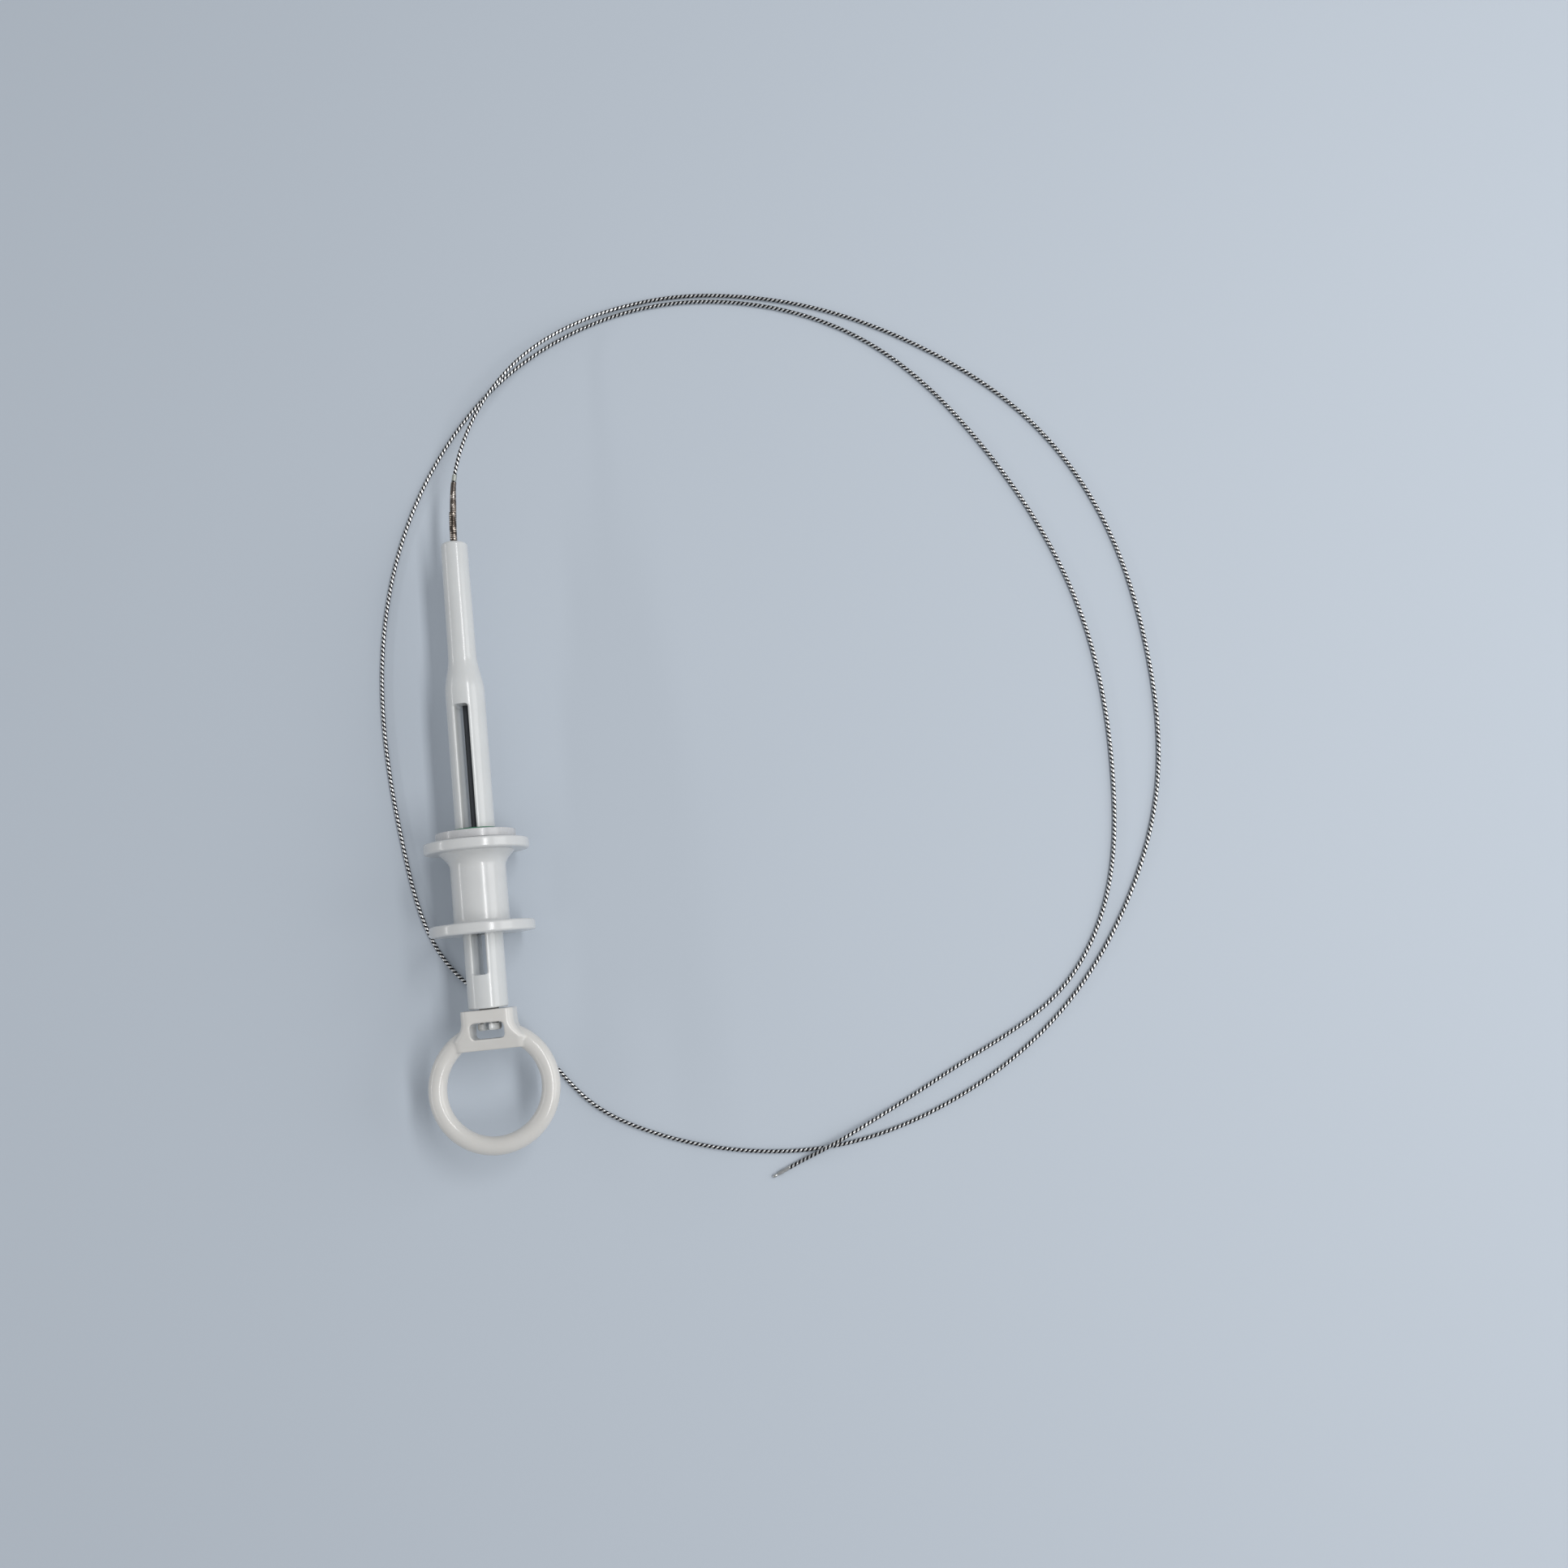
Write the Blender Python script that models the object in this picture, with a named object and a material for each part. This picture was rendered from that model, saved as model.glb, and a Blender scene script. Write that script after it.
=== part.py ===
"""Endoscopic biopsy forceps: a ring-and-spool handle, a coil sheath laid in two loops, and rat-tooth jaws.

The handle lies along Y with its nose towards +Y, resting on the two flanges of its spool. Lengths along the
handle are measured from the nose end towards the thumb ring. All sizes are in metres.
"""

import math

import bmesh
import bpy
import numpy as np
from mathutils import Matrix, Vector

# Handle body: one moulding, turned outside, with a through slot and a split snap tail
NOSE_D = 0.0069
NOSE_ROOT_D = 0.0072
NOSE_EDGE_R = 0.0009
NOSE_LENGTH = 0.0294
CONE_LENGTH = 0.0106
BODY_D = 0.0100
BODY_END = 0.1214
SLOT_WIDTH = 0.0036
SLOT_SETBACK = 0.0037
SLOT_REAR_WALL = 0.0084
SLOT_TURN = math.radians(-6)
NOSE_BORE_D = 0.0026
NOSE_BORE_DEPTH = 0.0140
TUBE_CLEARANCE = 0.00015
TAIL_D = 0.0046
TAIL_HEAD_D = 0.0060
TAIL_HEAD_LENGTH = 0.0017
TAIL_HEAD_LAND = 0.0012
TAIL_END_D = 0.0054
TAIL_LENGTH = 0.0035
TAIL_SPLIT = 0.00145

# Thumb ring: a round bar ring with a neck that turns on the snap tail
RING_OD = 0.0332
RING_BAR = 0.0047
RING_SETBACK = 0.0199
NECK_WIDTH = 0.0133
NECK_THICKNESS = 0.0092
NECK_CORNER_R = 0.0022
NECK_FOOT_WIDTH = 0.0186
NECK_CHORD_RISE = 0.0095
NECK_EDGE_R = 0.00033
NECK_FLARE = (  # share of the way down the neck, of its widening and of its thinning
    (0.45, 0, 0),
    (0.6, 0.06, 0.03),
    (0.72, 0.2, 0.1),
    (0.86, 0.55, 0.3),
    (1, 1, 0.55),
)
WINDOW_WIDTH = 0.0085
WINDOW_LENGTH = 0.0041
WINDOW_CORNER_R = 0.0011
CORNER_LIMIT = 0.98
SWIVEL_CLEARANCE = 0.00015

# Slider: a spool with two finger flanges, closed by a cap that traps the crossbar
SLIDER_FRONT = 0.0766
CAP_D = 0.0202
CAP_THICKNESS = 0.0021
CAP_BOSS_D = 0.0140
CAP_BOSS_LENGTH = 0.0033
CAP_EDGE_R = 0.0002
FLANGE_D = 0.0265
FLANGE_THICKNESS = 0.0028
FLANGE_EDGE_R = 0.0006
FLANGE_GAP = 0.01815
WAIST_D = 0.0140
FLARE_RADIAL = 0.0029
FLARE_LENGTH = 0.0042
WAIST_FILLET_R = 0.0010
SLIDE_CLEARANCE = 0.00015
SEAM = 0.0003
GUIDE_RING_WALL = 0.00055
GUIDE_RING_LENGTH = 0.0016
GUIDE_RING_PROUD = 0.00075

# Crossbar, grub screw, drive tube and pull wire
BAR_WIDTH = 0.0032
BAR_LENGTH = 0.0058
BAR_HEIGHT = 0.0124
BAR_EDGE = 0.0003
SCREW_D = 0.0014
SCREW_LENGTH = 0.0046
SCREW_SOCKET_D = 0.0007
SCREW_SOCKET_DEPTH = 0.0012
DRIVE_TUBE_D = 0.0018
DRIVE_TUBE_BORE = 0.0008
DRIVE_TUBE_FRONT = 0.0360
DRIVE_TUBE_PAST_BAR = 0.0020
WIRE_D = 0.0005
WIRE_FRONT = 0.0320
TIGHT_FIT = 0.00008

# Coil sheath with its ferrule and the two stepped coil guards at the nose
SHEATH_D = 0.00105
SHEATH_LIFT = 0.00002
SHEATH_START = 0.0130
FERRULE_D = 0.0024
FERRULE_LENGTH = 0.0090
OUTER_GUARD_D = 0.0019
OUTER_GUARD_END = 0.0084
INNER_GUARD_D = 0.00145
INNER_GUARD_END = 0.0168
GUARD_COLLAR_D = 0.00125
GUARD_COLLAR_END = 0.0188
COIL_CLEARANCE = 0.00005
POINT_SPACING = 0.0162

# Jaw mechanism at the far end, closed at rest
SLEEVE_D = 0.00105
SLEEVE_LENGTH = 0.0032
SLEEVE_EDGE_R = 0.00018
SLEEVE_BORE = 0.00076
SLEEVE_GAP = 0.00003
PIVOT_TO_FRONT = 0.00037
FORK_SLOT = 0.00042
FORK_DEPTH = 0.00155
BORE_PAST_PIVOT = 0.00100
PLATE = 0.00018
PLATE_GAP = 0.00002
HUB_D = 0.00060
JAW_REACH = 0.00202
CUP_START = 0.00062
CUP_LENGTH = 0.00148
CUP_HALF_WIDTH = 0.00046
CUP_HALF_HEIGHT = 0.00042
CUP_WALL = 0.00012
CUP_SEAM = 0.00001
JAW_NECK_ROOT_D = 0.00050
JAW_NECK_END_D = 0.00024
JAW_NECK_REACH = 0.00085
JAW_NECK_OFFSET = 0.00015
TOOTH_WIDTH = 0.00014
TOOTH_THICKNESS = 0.00009
TOOTH_POINT = 0.00003
TOOTH_HEIGHT = 0.00017
TOOTH_ROOT = 0.00007
TOOTH_SPREAD = math.radians(33)
TOOTH_CLEARANCE = 0.00003
TAIL_REACH = 0.000886
TAIL_ANGLE = math.radians(16.4)
TAIL_BOSS_D = 0.00038
LINK_LENGTH = 0.00120
LINK_EYE_D = 0.00050
LINK_ROOT_D = 0.00034
LINK_PIN_D = 0.00016
LINK_SLACK = 0.00009
JAW_PIN_D = 0.00020
PIN_CLEARANCE = 0.00002
PIN_SETBACK = 0.00003
PUSHER_D = 0.00070
PUSHER_LENGTH = 0.00078
PUSHER_FRONT = 0.00020
TIP_HEADING = math.radians(203)

CONE_END = NOSE_LENGTH + CONE_LENGTH
SLOT_START = CONE_END + SLOT_SETBACK
SLOT_END = BODY_END - SLOT_REAR_WALL
WINDOW_START = BODY_END + TAIL_LENGTH
RING_CENTRE = BODY_END + RING_SETBACK
HANDLE_Z = FLANGE_D / 2
HANDLE_LENGTH = RING_CENTRE + RING_OD / 2
NOSE_Y = HANDLE_LENGTH / 2
SHEATH_Z = SHEATH_D / 2 + SHEATH_LIFT
SHEATH_END = (0.0715, -0.0912)
END_STRAIGHT = 0.0025
LAST_BEND = (
    SHEATH_END[0] - END_STRAIGHT * math.cos(TIP_HEADING),
    SHEATH_END[1] - END_STRAIGHT * math.sin(TIP_HEADING),
)

# The sheath's way from inside the nose: down to the table, two loops there, and over itself at the end
SHEATH_ROUTE = [
    (0.0000, NOSE_Y - SHEATH_START, HANDLE_Z),
    (0.0000, NOSE_Y - SHEATH_START / 2, HANDLE_Z),
    (0.0000, NOSE_Y, HANDLE_Z),
    (0.0003, NOSE_Y + 0.0090, HANDLE_Z),
    (0.0015, NOSE_Y + 0.0188, 0.0130),
    (0.0048, 0.1080, 0.0123),
    (0.0090, 0.1168, 0.0107),
    (0.0140, 0.1243, 0.0088),
    (0.0205, 0.1315, 0.0067),
    (0.0295, 0.1382, 0.0043),
    (0.0420, 0.1440, 0.0018),
    (0.0550, 0.1470, SHEATH_Z),
    (0.0810, 0.1460, SHEATH_Z),
    (0.1065, 0.1388, SHEATH_Z),
    (0.1310, 0.1257, SHEATH_Z),
    (0.1575, 0.1025, SHEATH_Z),
    (0.1755, 0.0690, SHEATH_Z),
    (0.1815, 0.0350, SHEATH_Z),
    (0.1795, -0.0015, SHEATH_Z),
    (0.1670, -0.0325, SHEATH_Z),
    (0.1470, -0.0580, SHEATH_Z),
    (0.1165, -0.0780, SHEATH_Z),
    (0.0845, -0.0868, SHEATH_Z),
    (0.0605, -0.0857, SHEATH_Z),
    (0.0345, -0.0775, SHEATH_Z),
    (0.0225, -0.0700, SHEATH_Z),
    (0.0143, -0.0605, SHEATH_Z),
    (0.0058, -0.0497, SHEATH_Z),
    (-0.0036, -0.0400, SHEATH_Z),
    (-0.0118, -0.0312, SHEATH_Z),
    (-0.0218, 0.0000, SHEATH_Z),
    (-0.0250, 0.0380, SHEATH_Z),
    (-0.0225, 0.0645, SHEATH_Z),
    (-0.0120, 0.0957, SHEATH_Z),
    (0.0000, 0.1143, SHEATH_Z),
    (0.0150, 0.1290, SHEATH_Z),
    (0.0270, 0.1365, SHEATH_Z),
    (0.0550, 0.1452, SHEATH_Z),
    (0.0810, 0.1441, SHEATH_Z),
    (0.1140, 0.1303, SHEATH_Z),
    (0.1444, 0.0955, SHEATH_Z),
    (0.1652, 0.0460, SHEATH_Z),
    (0.1680, 0.0030, SHEATH_Z),
    (0.1600, -0.0350, SHEATH_Z),
    (0.1465, -0.0535, SHEATH_Z),
    (0.1215, -0.0680, SHEATH_Z),
    (0.1040, -0.0768, SHEATH_Z),
    (0.0930, -0.0820, 0.0014),
    (0.0838, -0.0861, 0.0019),
    (0.0780, -0.0885, 0.0013),
    (*LAST_BEND, SHEATH_Z),
    (*SHEATH_END, SHEATH_Z),
]


def material(name, colour, roughness, metallic=0.0):
    made = bpy.data.materials.new(name)
    made.use_nodes = True
    shader = made.node_tree.nodes["Principled BSDF"]
    shader.inputs["Base Color"].default_value = (*colour, 1.0)
    shader.inputs["Roughness"].default_value = roughness
    shader.inputs["Metallic"].default_value = metallic
    return made


def white_plastic(name, colour=(0.80, 0.81, 0.80)):
    return material(name, colour, 0.28)


def steel(name, colour=(0.55, 0.54, 0.52), roughness=0.3):
    return material(name, colour, roughness, 1.0)


def empty(name, location, turn=0.0, parent=None):
    made = bpy.data.objects.new(name, None)
    made.empty_display_size = 0.01
    made.location = location
    made.rotation_euler = (0, 0, turn)
    made.parent = parent
    bpy.context.collection.objects.link(made)
    return made


def finish(name, bm, look, parent=None, location=(0, 0, 0), rotation=(0, 0, 0)):
    """Makes an object of a closed bmesh, with its faces pointing out and its round sides smooth."""
    bmesh.ops.recalc_face_normals(bm, faces=bm.faces)
    mesh = bpy.data.meshes.new(name)
    bm.to_mesh(mesh)
    bm.free()
    mesh.shade_smooth()
    mesh.set_sharp_from_angle(angle=math.radians(35))
    made = bpy.data.objects.new(name, mesh)
    if look:
        made.data.materials.append(look)
    made.parent = parent
    made.location = location
    made.rotation_euler = rotation
    bpy.context.collection.objects.link(made)
    return made


def lathe(profile, segments, axis="Y", closed=False, flat_up=False):
    """Turns (place along the axis, radius) points round the axis. A closed profile makes a ring or a tube.

    A corner of the many-sided round points up, or the middle of a side where flat_up is set.
    """
    first = math.pi / segments if flat_up else 0
    bm = bmesh.new()
    rings = []
    for place, radius in profile:
        if radius == 0:
            rings.append([bm.verts.new(on_axis(axis, place, 0, 0))])
            continue
        turn = [first + 2 * math.pi * k / segments - math.pi / 2 for k in range(segments)]
        rings.append(
            [bm.verts.new(on_axis(axis, place, radius * math.cos(a), radius * math.sin(a))) for a in turn]
        )
    pairs = list(zip(rings, rings[1:] + ([rings[0]] if closed else [])))
    for low, high in pairs:
        for k in range(segments):
            after = (k + 1) % segments
            if len(low) == 1 and len(high) == 1:
                continue
            corners = [low[k % len(low)], low[after % len(low)], high[after % len(high)], high[k % len(high)]]
            bm.faces.new(list(dict.fromkeys(corners)))
    if not closed:
        for ring in (rings[0], rings[-1]):
            if len(ring) > 1:
                bm.faces.new(ring)
    return bm


def on_axis(axis, place, across, up):
    if axis == "X":
        return (place, across, up)
    if axis == "Y":
        return (across, place, up)
    return (across, up, place)


def arc(centre, radius, start_deg, end_deg, steps):
    """Points of an arc in (place, radius) coordinates, both ends included."""
    angles = [math.radians(start_deg + (end_deg - start_deg) * k / steps) for k in range(steps + 1)]
    return [(centre[0] + radius * math.cos(a), centre[1] + radius * math.sin(a)) for a in angles]


def box(size, centre=(0, 0, 0)):
    bm = bmesh.new()
    bmesh.ops.create_cube(bm, size=1.0)
    bmesh.ops.scale(bm, vec=size, verts=bm.verts)
    bmesh.ops.translate(bm, vec=centre, verts=bm.verts)
    return bm


def prism(outline, low, high):
    """Extrudes a flat outline in X and Y from one height to another."""
    bm = bmesh.new()
    bottom = [bm.verts.new((x, y, low)) for x, y in outline]
    top = [bm.verts.new((x, y, high)) for x, y in outline]
    bm.faces.new(bottom)
    bm.faces.new(top)
    for k in range(len(outline)):
        after = (k + 1) % len(outline)
        bm.faces.new([bottom[k], bottom[after], top[after], top[k]])
    return bm


def strap(start, start_r, end, end_r, steps=6):
    """The outline of a belt round two circles: the shape of a link or of a lever's arm."""
    run = Vector(end) - Vector(start)
    heading = math.atan2(run.y, run.x)
    lean = math.acos((start_r - end_r) / run.length)
    points = []
    for centre, radius, first, last in (
        (start, start_r, heading + lean, heading + 2 * math.pi - lean),
        (end, end_r, heading - lean, heading + lean),
    ):
        for k in range(steps + 1):
            a = first + (last - first) * k / steps
            points.append((centre[0] + radius * math.cos(a), centre[1] + radius * math.sin(a)))
    return points


def rod(radius, low, high, segments=12, at=(0, 0), axis="Z", flat_up=False):
    bm = lathe([(low, radius), (high, radius)], segments, axis, flat_up=flat_up)
    bmesh.ops.translate(bm, vec=on_axis(axis, 0, *at), verts=bm.verts)
    return bm


def boolean(target, bm, operation="DIFFERENCE", rotation=(0, 0, 0)):
    """Cuts or joins a shape given in the target's own coordinates."""
    name = f"{target.name}_{operation.lower()}_{len(target.modifiers)}"
    tool = finish(name, bm, None, target, rotation=rotation)
    tool.hide_render = True
    tool.display_type = "WIRE"
    step = target.modifiers.new(tool.name, "BOOLEAN")
    step.operation = operation
    step.object = tool
    return tool


def smooth_line(points):
    """A natural cubic spline through the points, kept off the table.

    Returns a function from the length along it to the place there, and the whole length.
    """
    p = np.array(points, dtype=float)
    t = np.concatenate([[0], np.cumsum(np.linalg.norm(np.diff(p, axis=0), axis=1))])
    h, count = np.diff(t), len(p)
    system, pull = np.eye(count), np.zeros_like(p)
    for k in range(1, count - 1):
        system[k, k - 1 : k + 2] = h[k - 1], 2 * (h[k - 1] + h[k]), h[k]
        pull[k] = 6 * ((p[k + 1] - p[k]) / h[k] - (p[k] - p[k - 1]) / h[k - 1])
    bend = np.linalg.solve(system, pull)

    def place(value):
        k = int(np.clip(np.searchsorted(t, value) - 1, 0, count - 2))
        a, b = t[k + 1] - value, value - t[k]
        x, y, z = (
            (bend[k] * a**3 + bend[k + 1] * b**3) / (6 * h[k])
            + (p[k] / h[k] - bend[k] * h[k] / 6) * a
            + (p[k + 1] / h[k] - bend[k + 1] * h[k] / 6) * b
        )
        return x, y, max(z, SHEATH_Z)

    fine = np.linspace(0, t[-1], 40 * count)
    line = np.array([place(v) for v in fine])
    run = np.concatenate([[0], np.cumsum(np.linalg.norm(np.diff(line, axis=0), axis=1))])
    return (lambda length: place(np.interp(length, run, fine))), float(run[-1])


def swept_tube(line, start, end, outer, inner, steps, segments=16):
    """A hollow tube that follows the line between two lengths along it."""
    bm = bmesh.new()
    walls = []
    for k in range(steps + 1):
        length = start + (end - start) * k / steps
        centre = Vector(line(length))
        heading = (Vector(line(length + 1e-5)) - Vector(line(max(length - 1e-5, 0)))).normalized()
        side = heading.cross(Vector((0, 0, 1))).normalized()
        up = side.cross(heading)
        around = [2 * math.pi * j / segments for j in range(segments)]
        walls.append(
            [
                [bm.verts.new(centre + r * (side * math.cos(a) + up * math.sin(a))) for a in around]
                for r in (outer, inner)
            ]
        )
    for j in range(segments):
        after = (j + 1) % segments
        for low, high in zip(walls, walls[1:]):
            for ring in (0, 1):
                bm.faces.new([low[ring][j], low[ring][after], high[ring][after], high[ring][j]])
        for end_walls in (walls[0], walls[-1]):
            bm.faces.new([end_walls[0][j], end_walls[0][after], end_walls[1][after], end_walls[1][j]])
    return bm


def handle_body(axis):
    """The white moulding: nose tube, cone, slotted round body and the split tail that the ring snaps onto."""
    nose, root, body = NOSE_D / 2, NOSE_ROOT_D / 2, BODY_D / 2
    head = WINDOW_START + SEAM
    bore = DRIVE_TUBE_D / 2 + TUBE_CLEARANCE
    corner = (NOSE_EDGE_R, nose - NOSE_EDGE_R)
    profile = [(SLOT_START + SLOT_WIDTH, 0), (SLOT_START + SLOT_WIDTH, bore), (NOSE_BORE_DEPTH, bore)]
    profile += [(NOSE_BORE_DEPTH, NOSE_BORE_D / 2), (0, NOSE_BORE_D / 2)]
    profile += arc(corner, NOSE_EDGE_R, 180, 90, 4)
    profile += [(NOSE_LENGTH, root)]
    for k in range(1, 6):
        share = k / 6
        blend = share * share * (3 - 2 * share)
        profile.append((NOSE_LENGTH + CONE_LENGTH * share, root + (body - root) * blend))
    profile += [(CONE_END, body), (BODY_END - SEAM, body), (BODY_END, body - SEAM)]
    profile += [(BODY_END, TAIL_D / 2), (head, TAIL_D / 2), (head, TAIL_HEAD_D / 2)]
    profile += [(head + TAIL_HEAD_LAND, TAIL_HEAD_D / 2), (head + TAIL_HEAD_LENGTH, TAIL_END_D / 2)]
    profile += [(head + TAIL_HEAD_LENGTH, 0)]
    bm = lathe([(NOSE_Y - s, r) for s, r in profile], 48)
    made = finish("handle_body", bm, white_plastic("body_white"), axis)
    middle = NOSE_Y - (SLOT_START + SLOT_END) / 2
    slot = box((SLOT_WIDTH, SLOT_END - SLOT_START, 2 * BODY_D), (0, middle, 0))
    boolean(made, slot, rotation=(0, SLOT_TURN, 0))
    split = box((TAIL_SPLIT, 2 * (WINDOW_START - BODY_END), BODY_D), (0, NOSE_Y - WINDOW_START - SEAM, 0))
    boolean(made, split, rotation=(0, SLOT_TURN, 0))


def rounded_outline(width, height, radius, steps=4):
    """A flat rectangle with round corners about the origin, its corners no rounder than it is wide."""
    radius = min(radius, CORNER_LIMIT * width / 2, CORNER_LIMIT * height / 2)
    points = []
    for k, (across, up) in enumerate(((1, 1), (-1, 1), (-1, -1), (1, -1))):
        for j in range(steps + 1):
            a = math.pi / 2 * (k + j / steps)
            points.append(
                (
                    across * (width / 2 - radius) + radius * math.cos(a),
                    up * (height / 2 - radius) + radius * math.sin(a),
                )
            )
    return points


def loft(sections):
    """Skins a row of sections that have the same number of points, and closes both ends."""
    bm = bmesh.new()
    rings = [[bm.verts.new(p) for p in section] for section in sections]
    for low, high in zip(rings, rings[1:]):
        for k in range(len(low)):
            after = (k + 1) % len(low)
            bm.faces.new([low[k], low[after], high[after], high[k]])
    bm.faces.new(rings[0])
    bm.faces.new(rings[-1])
    return bm


def thumb_ring(axis):
    """The ring bar turned round its own centre, with a lofted neck, a snap bore and the window behind it."""
    bar = RING_BAR / 2
    middle = RING_OD / 2 - bar
    turn = np.linspace(0, 2 * math.pi, 13)[:-1]
    section = [(bar * math.sin(a), middle + bar * math.cos(a)) for a in turn]
    centre = NOSE_Y - RING_CENTRE
    bm = lathe(section, 48, "Z", closed=True)
    bmesh.ops.translate(bm, vec=(0, centre, 0), verts=bm.verts)
    made = finish("thumb_ring", bm, white_plastic("ring_white", (0.78, 0.77, 0.74)), axis)
    top = BODY_END + SEAM
    foot = WINDOW_START + WINDOW_LENGTH
    spread, drop = NECK_FOOT_WIDTH - NECK_WIDTH, NECK_THICKNESS - RING_BAR
    stations = [
        (top, NECK_WIDTH - 2 * NECK_EDGE_R, NECK_THICKNESS - 2 * NECK_EDGE_R),
        (top + NECK_EDGE_R, NECK_WIDTH, NECK_THICKNESS),
    ]
    for along, out, down in NECK_FLARE:
        stations.append((top + along * (foot - top), NECK_WIDTH + out * spread, NECK_THICKNESS - down * drop))
    stations.append((RING_CENTRE - NECK_CHORD_RISE, NECK_FOOT_WIDTH, RING_BAR - SEAM / 2))
    sections = [
        [(x, NOSE_Y - along, z) for x, z in rounded_outline(width, height, NECK_CORNER_R)]
        for along, width, height in stations
    ]
    boolean(made, loft(sections), "UNION")
    bore_r = TAIL_D / 2 + SWIVEL_CLEARANCE
    boolean(made, rod(bore_r, NOSE_Y - WINDOW_START - SEAM, NOSE_Y - BODY_END + SEAM, 24, axis="Y"))
    window_y = NOSE_Y - WINDOW_START - WINDOW_LENGTH / 2
    window = [(x, window_y + y) for x, y in rounded_outline(WINDOW_WIDTH, WINDOW_LENGTH, WINDOW_CORNER_R)]
    boolean(made, prism(window, -NECK_THICKNESS, NECK_THICKNESS))


def slider_spool(slider):
    """The spool that two fingers hold: flanges and a waist, bored for the body, with the crossbar's notch."""
    outer, waist, bore = FLANGE_D / 2, WAIST_D / 2, BODY_D / 2 + SLIDE_CLEARANCE
    edge = FLANGE_EDGE_R
    front = CAP_THICKNESS + SEAM
    back = front + 2 * FLANGE_THICKNESS + FLANGE_GAP
    recess = CAP_BOSS_D / 2 + SLIDE_CLEARANCE
    recess_end = front + CAP_BOSS_LENGTH
    under = front + FLANGE_THICKNESS
    lower = back - FLANGE_THICKNESS
    profile = [(front, recess)]
    profile += arc((front + edge, outer - edge), edge, 180, 90, 3)
    profile += arc((under - edge, outer - edge), edge, 90, 0, 3)
    for share in np.linspace(0, 1, 7):
        profile.append((under + FLARE_LENGTH * share, waist + FLARE_RADIAL * (1 - share) ** 2))
    profile += arc((lower - WAIST_FILLET_R, waist + WAIST_FILLET_R), WAIST_FILLET_R, 270, 360, 3)
    profile += arc((lower + edge, outer - edge), edge, 180, 90, 3)
    profile += arc((back - edge, outer - edge), edge, 90, 0, 3)
    profile += [(back, bore), (recess_end, bore), (recess_end, recess)]
    bm = lathe([(-s, r) for s, r in profile], 48, closed=True)
    made = finish("slider_spool", bm, white_plastic("spool_white"), slider)
    notch_end = recess_end + BAR_LENGTH + SEAM
    notch = (BAR_WIDTH + SEAM, notch_end - recess_end + SEAM, BAR_HEIGHT + 2 * SEAM)
    boolean(made, box(notch, (0, -(recess_end - SEAM + notch_end) / 2, 0)), rotation=(0, SLOT_TURN, 0))


def slider_cap(slider):
    """The collar on the spool's front: a disc with a boss in the spool, and the guide ring in its mouth."""
    bore = BODY_D / 2 + SLIDE_CLEARANCE
    seat = bore + GUIDE_RING_WALL + SLIDE_CLEARANCE
    depth = GUIDE_RING_LENGTH - GUIDE_RING_PROUD + SEAM
    disc, edge = CAP_D / 2, CAP_EDGE_R
    profile = [(0, seat)] + arc((edge, disc - edge), edge, 180, 90, 3)
    boss_end = CAP_THICKNESS + CAP_BOSS_LENGTH
    profile += [(CAP_THICKNESS, disc), (CAP_THICKNESS, CAP_BOSS_D / 2)]
    profile += [(boss_end, CAP_BOSS_D / 2), (boss_end, bore), (depth, bore), (depth, seat)]
    cap = lathe([(-s, r) for s, r in profile], 48, closed=True)
    finish("slider_cap", cap, white_plastic("cap_white"), slider)
    ring_outer, ring_back = bore + GUIDE_RING_WALL, GUIDE_RING_PROUD - GUIDE_RING_LENGTH
    ring_front = GUIDE_RING_PROUD
    ring = [(ring_front, bore), (ring_front, ring_outer), (ring_back, ring_outer), (ring_back, bore)]
    look = material("guide_green", (0.03, 0.16, 0.11), 0.5)
    finish("guide_ring", lathe(ring, 48, closed=True), look, slider)


def slider_core(slider):
    """What the spool pushes: the crossbar in the slot, its grub screw, the drive tube and the pull wire."""
    front = CAP_THICKNESS + SEAM + CAP_BOSS_LENGTH
    bm = box((BAR_WIDTH, BAR_LENGTH, BAR_HEIGHT))
    bmesh.ops.bevel(bm, geom=list(bm.edges), offset=BAR_EDGE, segments=1, affect="EDGES")
    centre = (0, -front - BAR_LENGTH / 2, 0)
    bar = finish("crossbar", bm, steel("bar_steel"), slider, centre, (0, SLOT_TURN, 0))
    boolean(bar, rod(DRIVE_TUBE_D / 2 + TIGHT_FIT, -BAR_LENGTH, BAR_LENGTH, 16, axis="Y"))
    boolean(bar, rod(SCREW_D / 2 + TIGHT_FIT, 0, BAR_HEIGHT, 12))
    screw_low = DRIVE_TUBE_D / 2 + SEAM
    screw_high = screw_low + SCREW_LENGTH
    screw, dark = rod(SCREW_D / 2, screw_low, screw_high, 12), steel("screw_steel", (0.4, 0.4, 0.4))
    made = finish("grub_screw", screw, dark, slider, centre, (0, SLOT_TURN, 0))
    boolean(made, rod(SCREW_SOCKET_D / 2, screw_high - SCREW_SOCKET_DEPTH, screw_high + SEAM, 6))
    back = -front - BAR_LENGTH - DRIVE_TUBE_PAST_BAR
    nose_side = SLIDER_FRONT - DRIVE_TUBE_FRONT
    outer, inner = DRIVE_TUBE_D / 2, DRIVE_TUBE_BORE / 2
    tube = lathe([(nose_side, outer), (back, outer), (back, inner), (nose_side, inner)], 16, closed=True)
    finish("drive_tube", tube, steel("tube_steel", (0.62, 0.62, 0.62)), slider)
    wire = rod(WIRE_D / 2, back, SLIDER_FRONT - WIRE_FRONT, 10, axis="Y")
    finish("pull_wire", wire, steel("wire_steel", (0.5, 0.5, 0.5)), slider)


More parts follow.
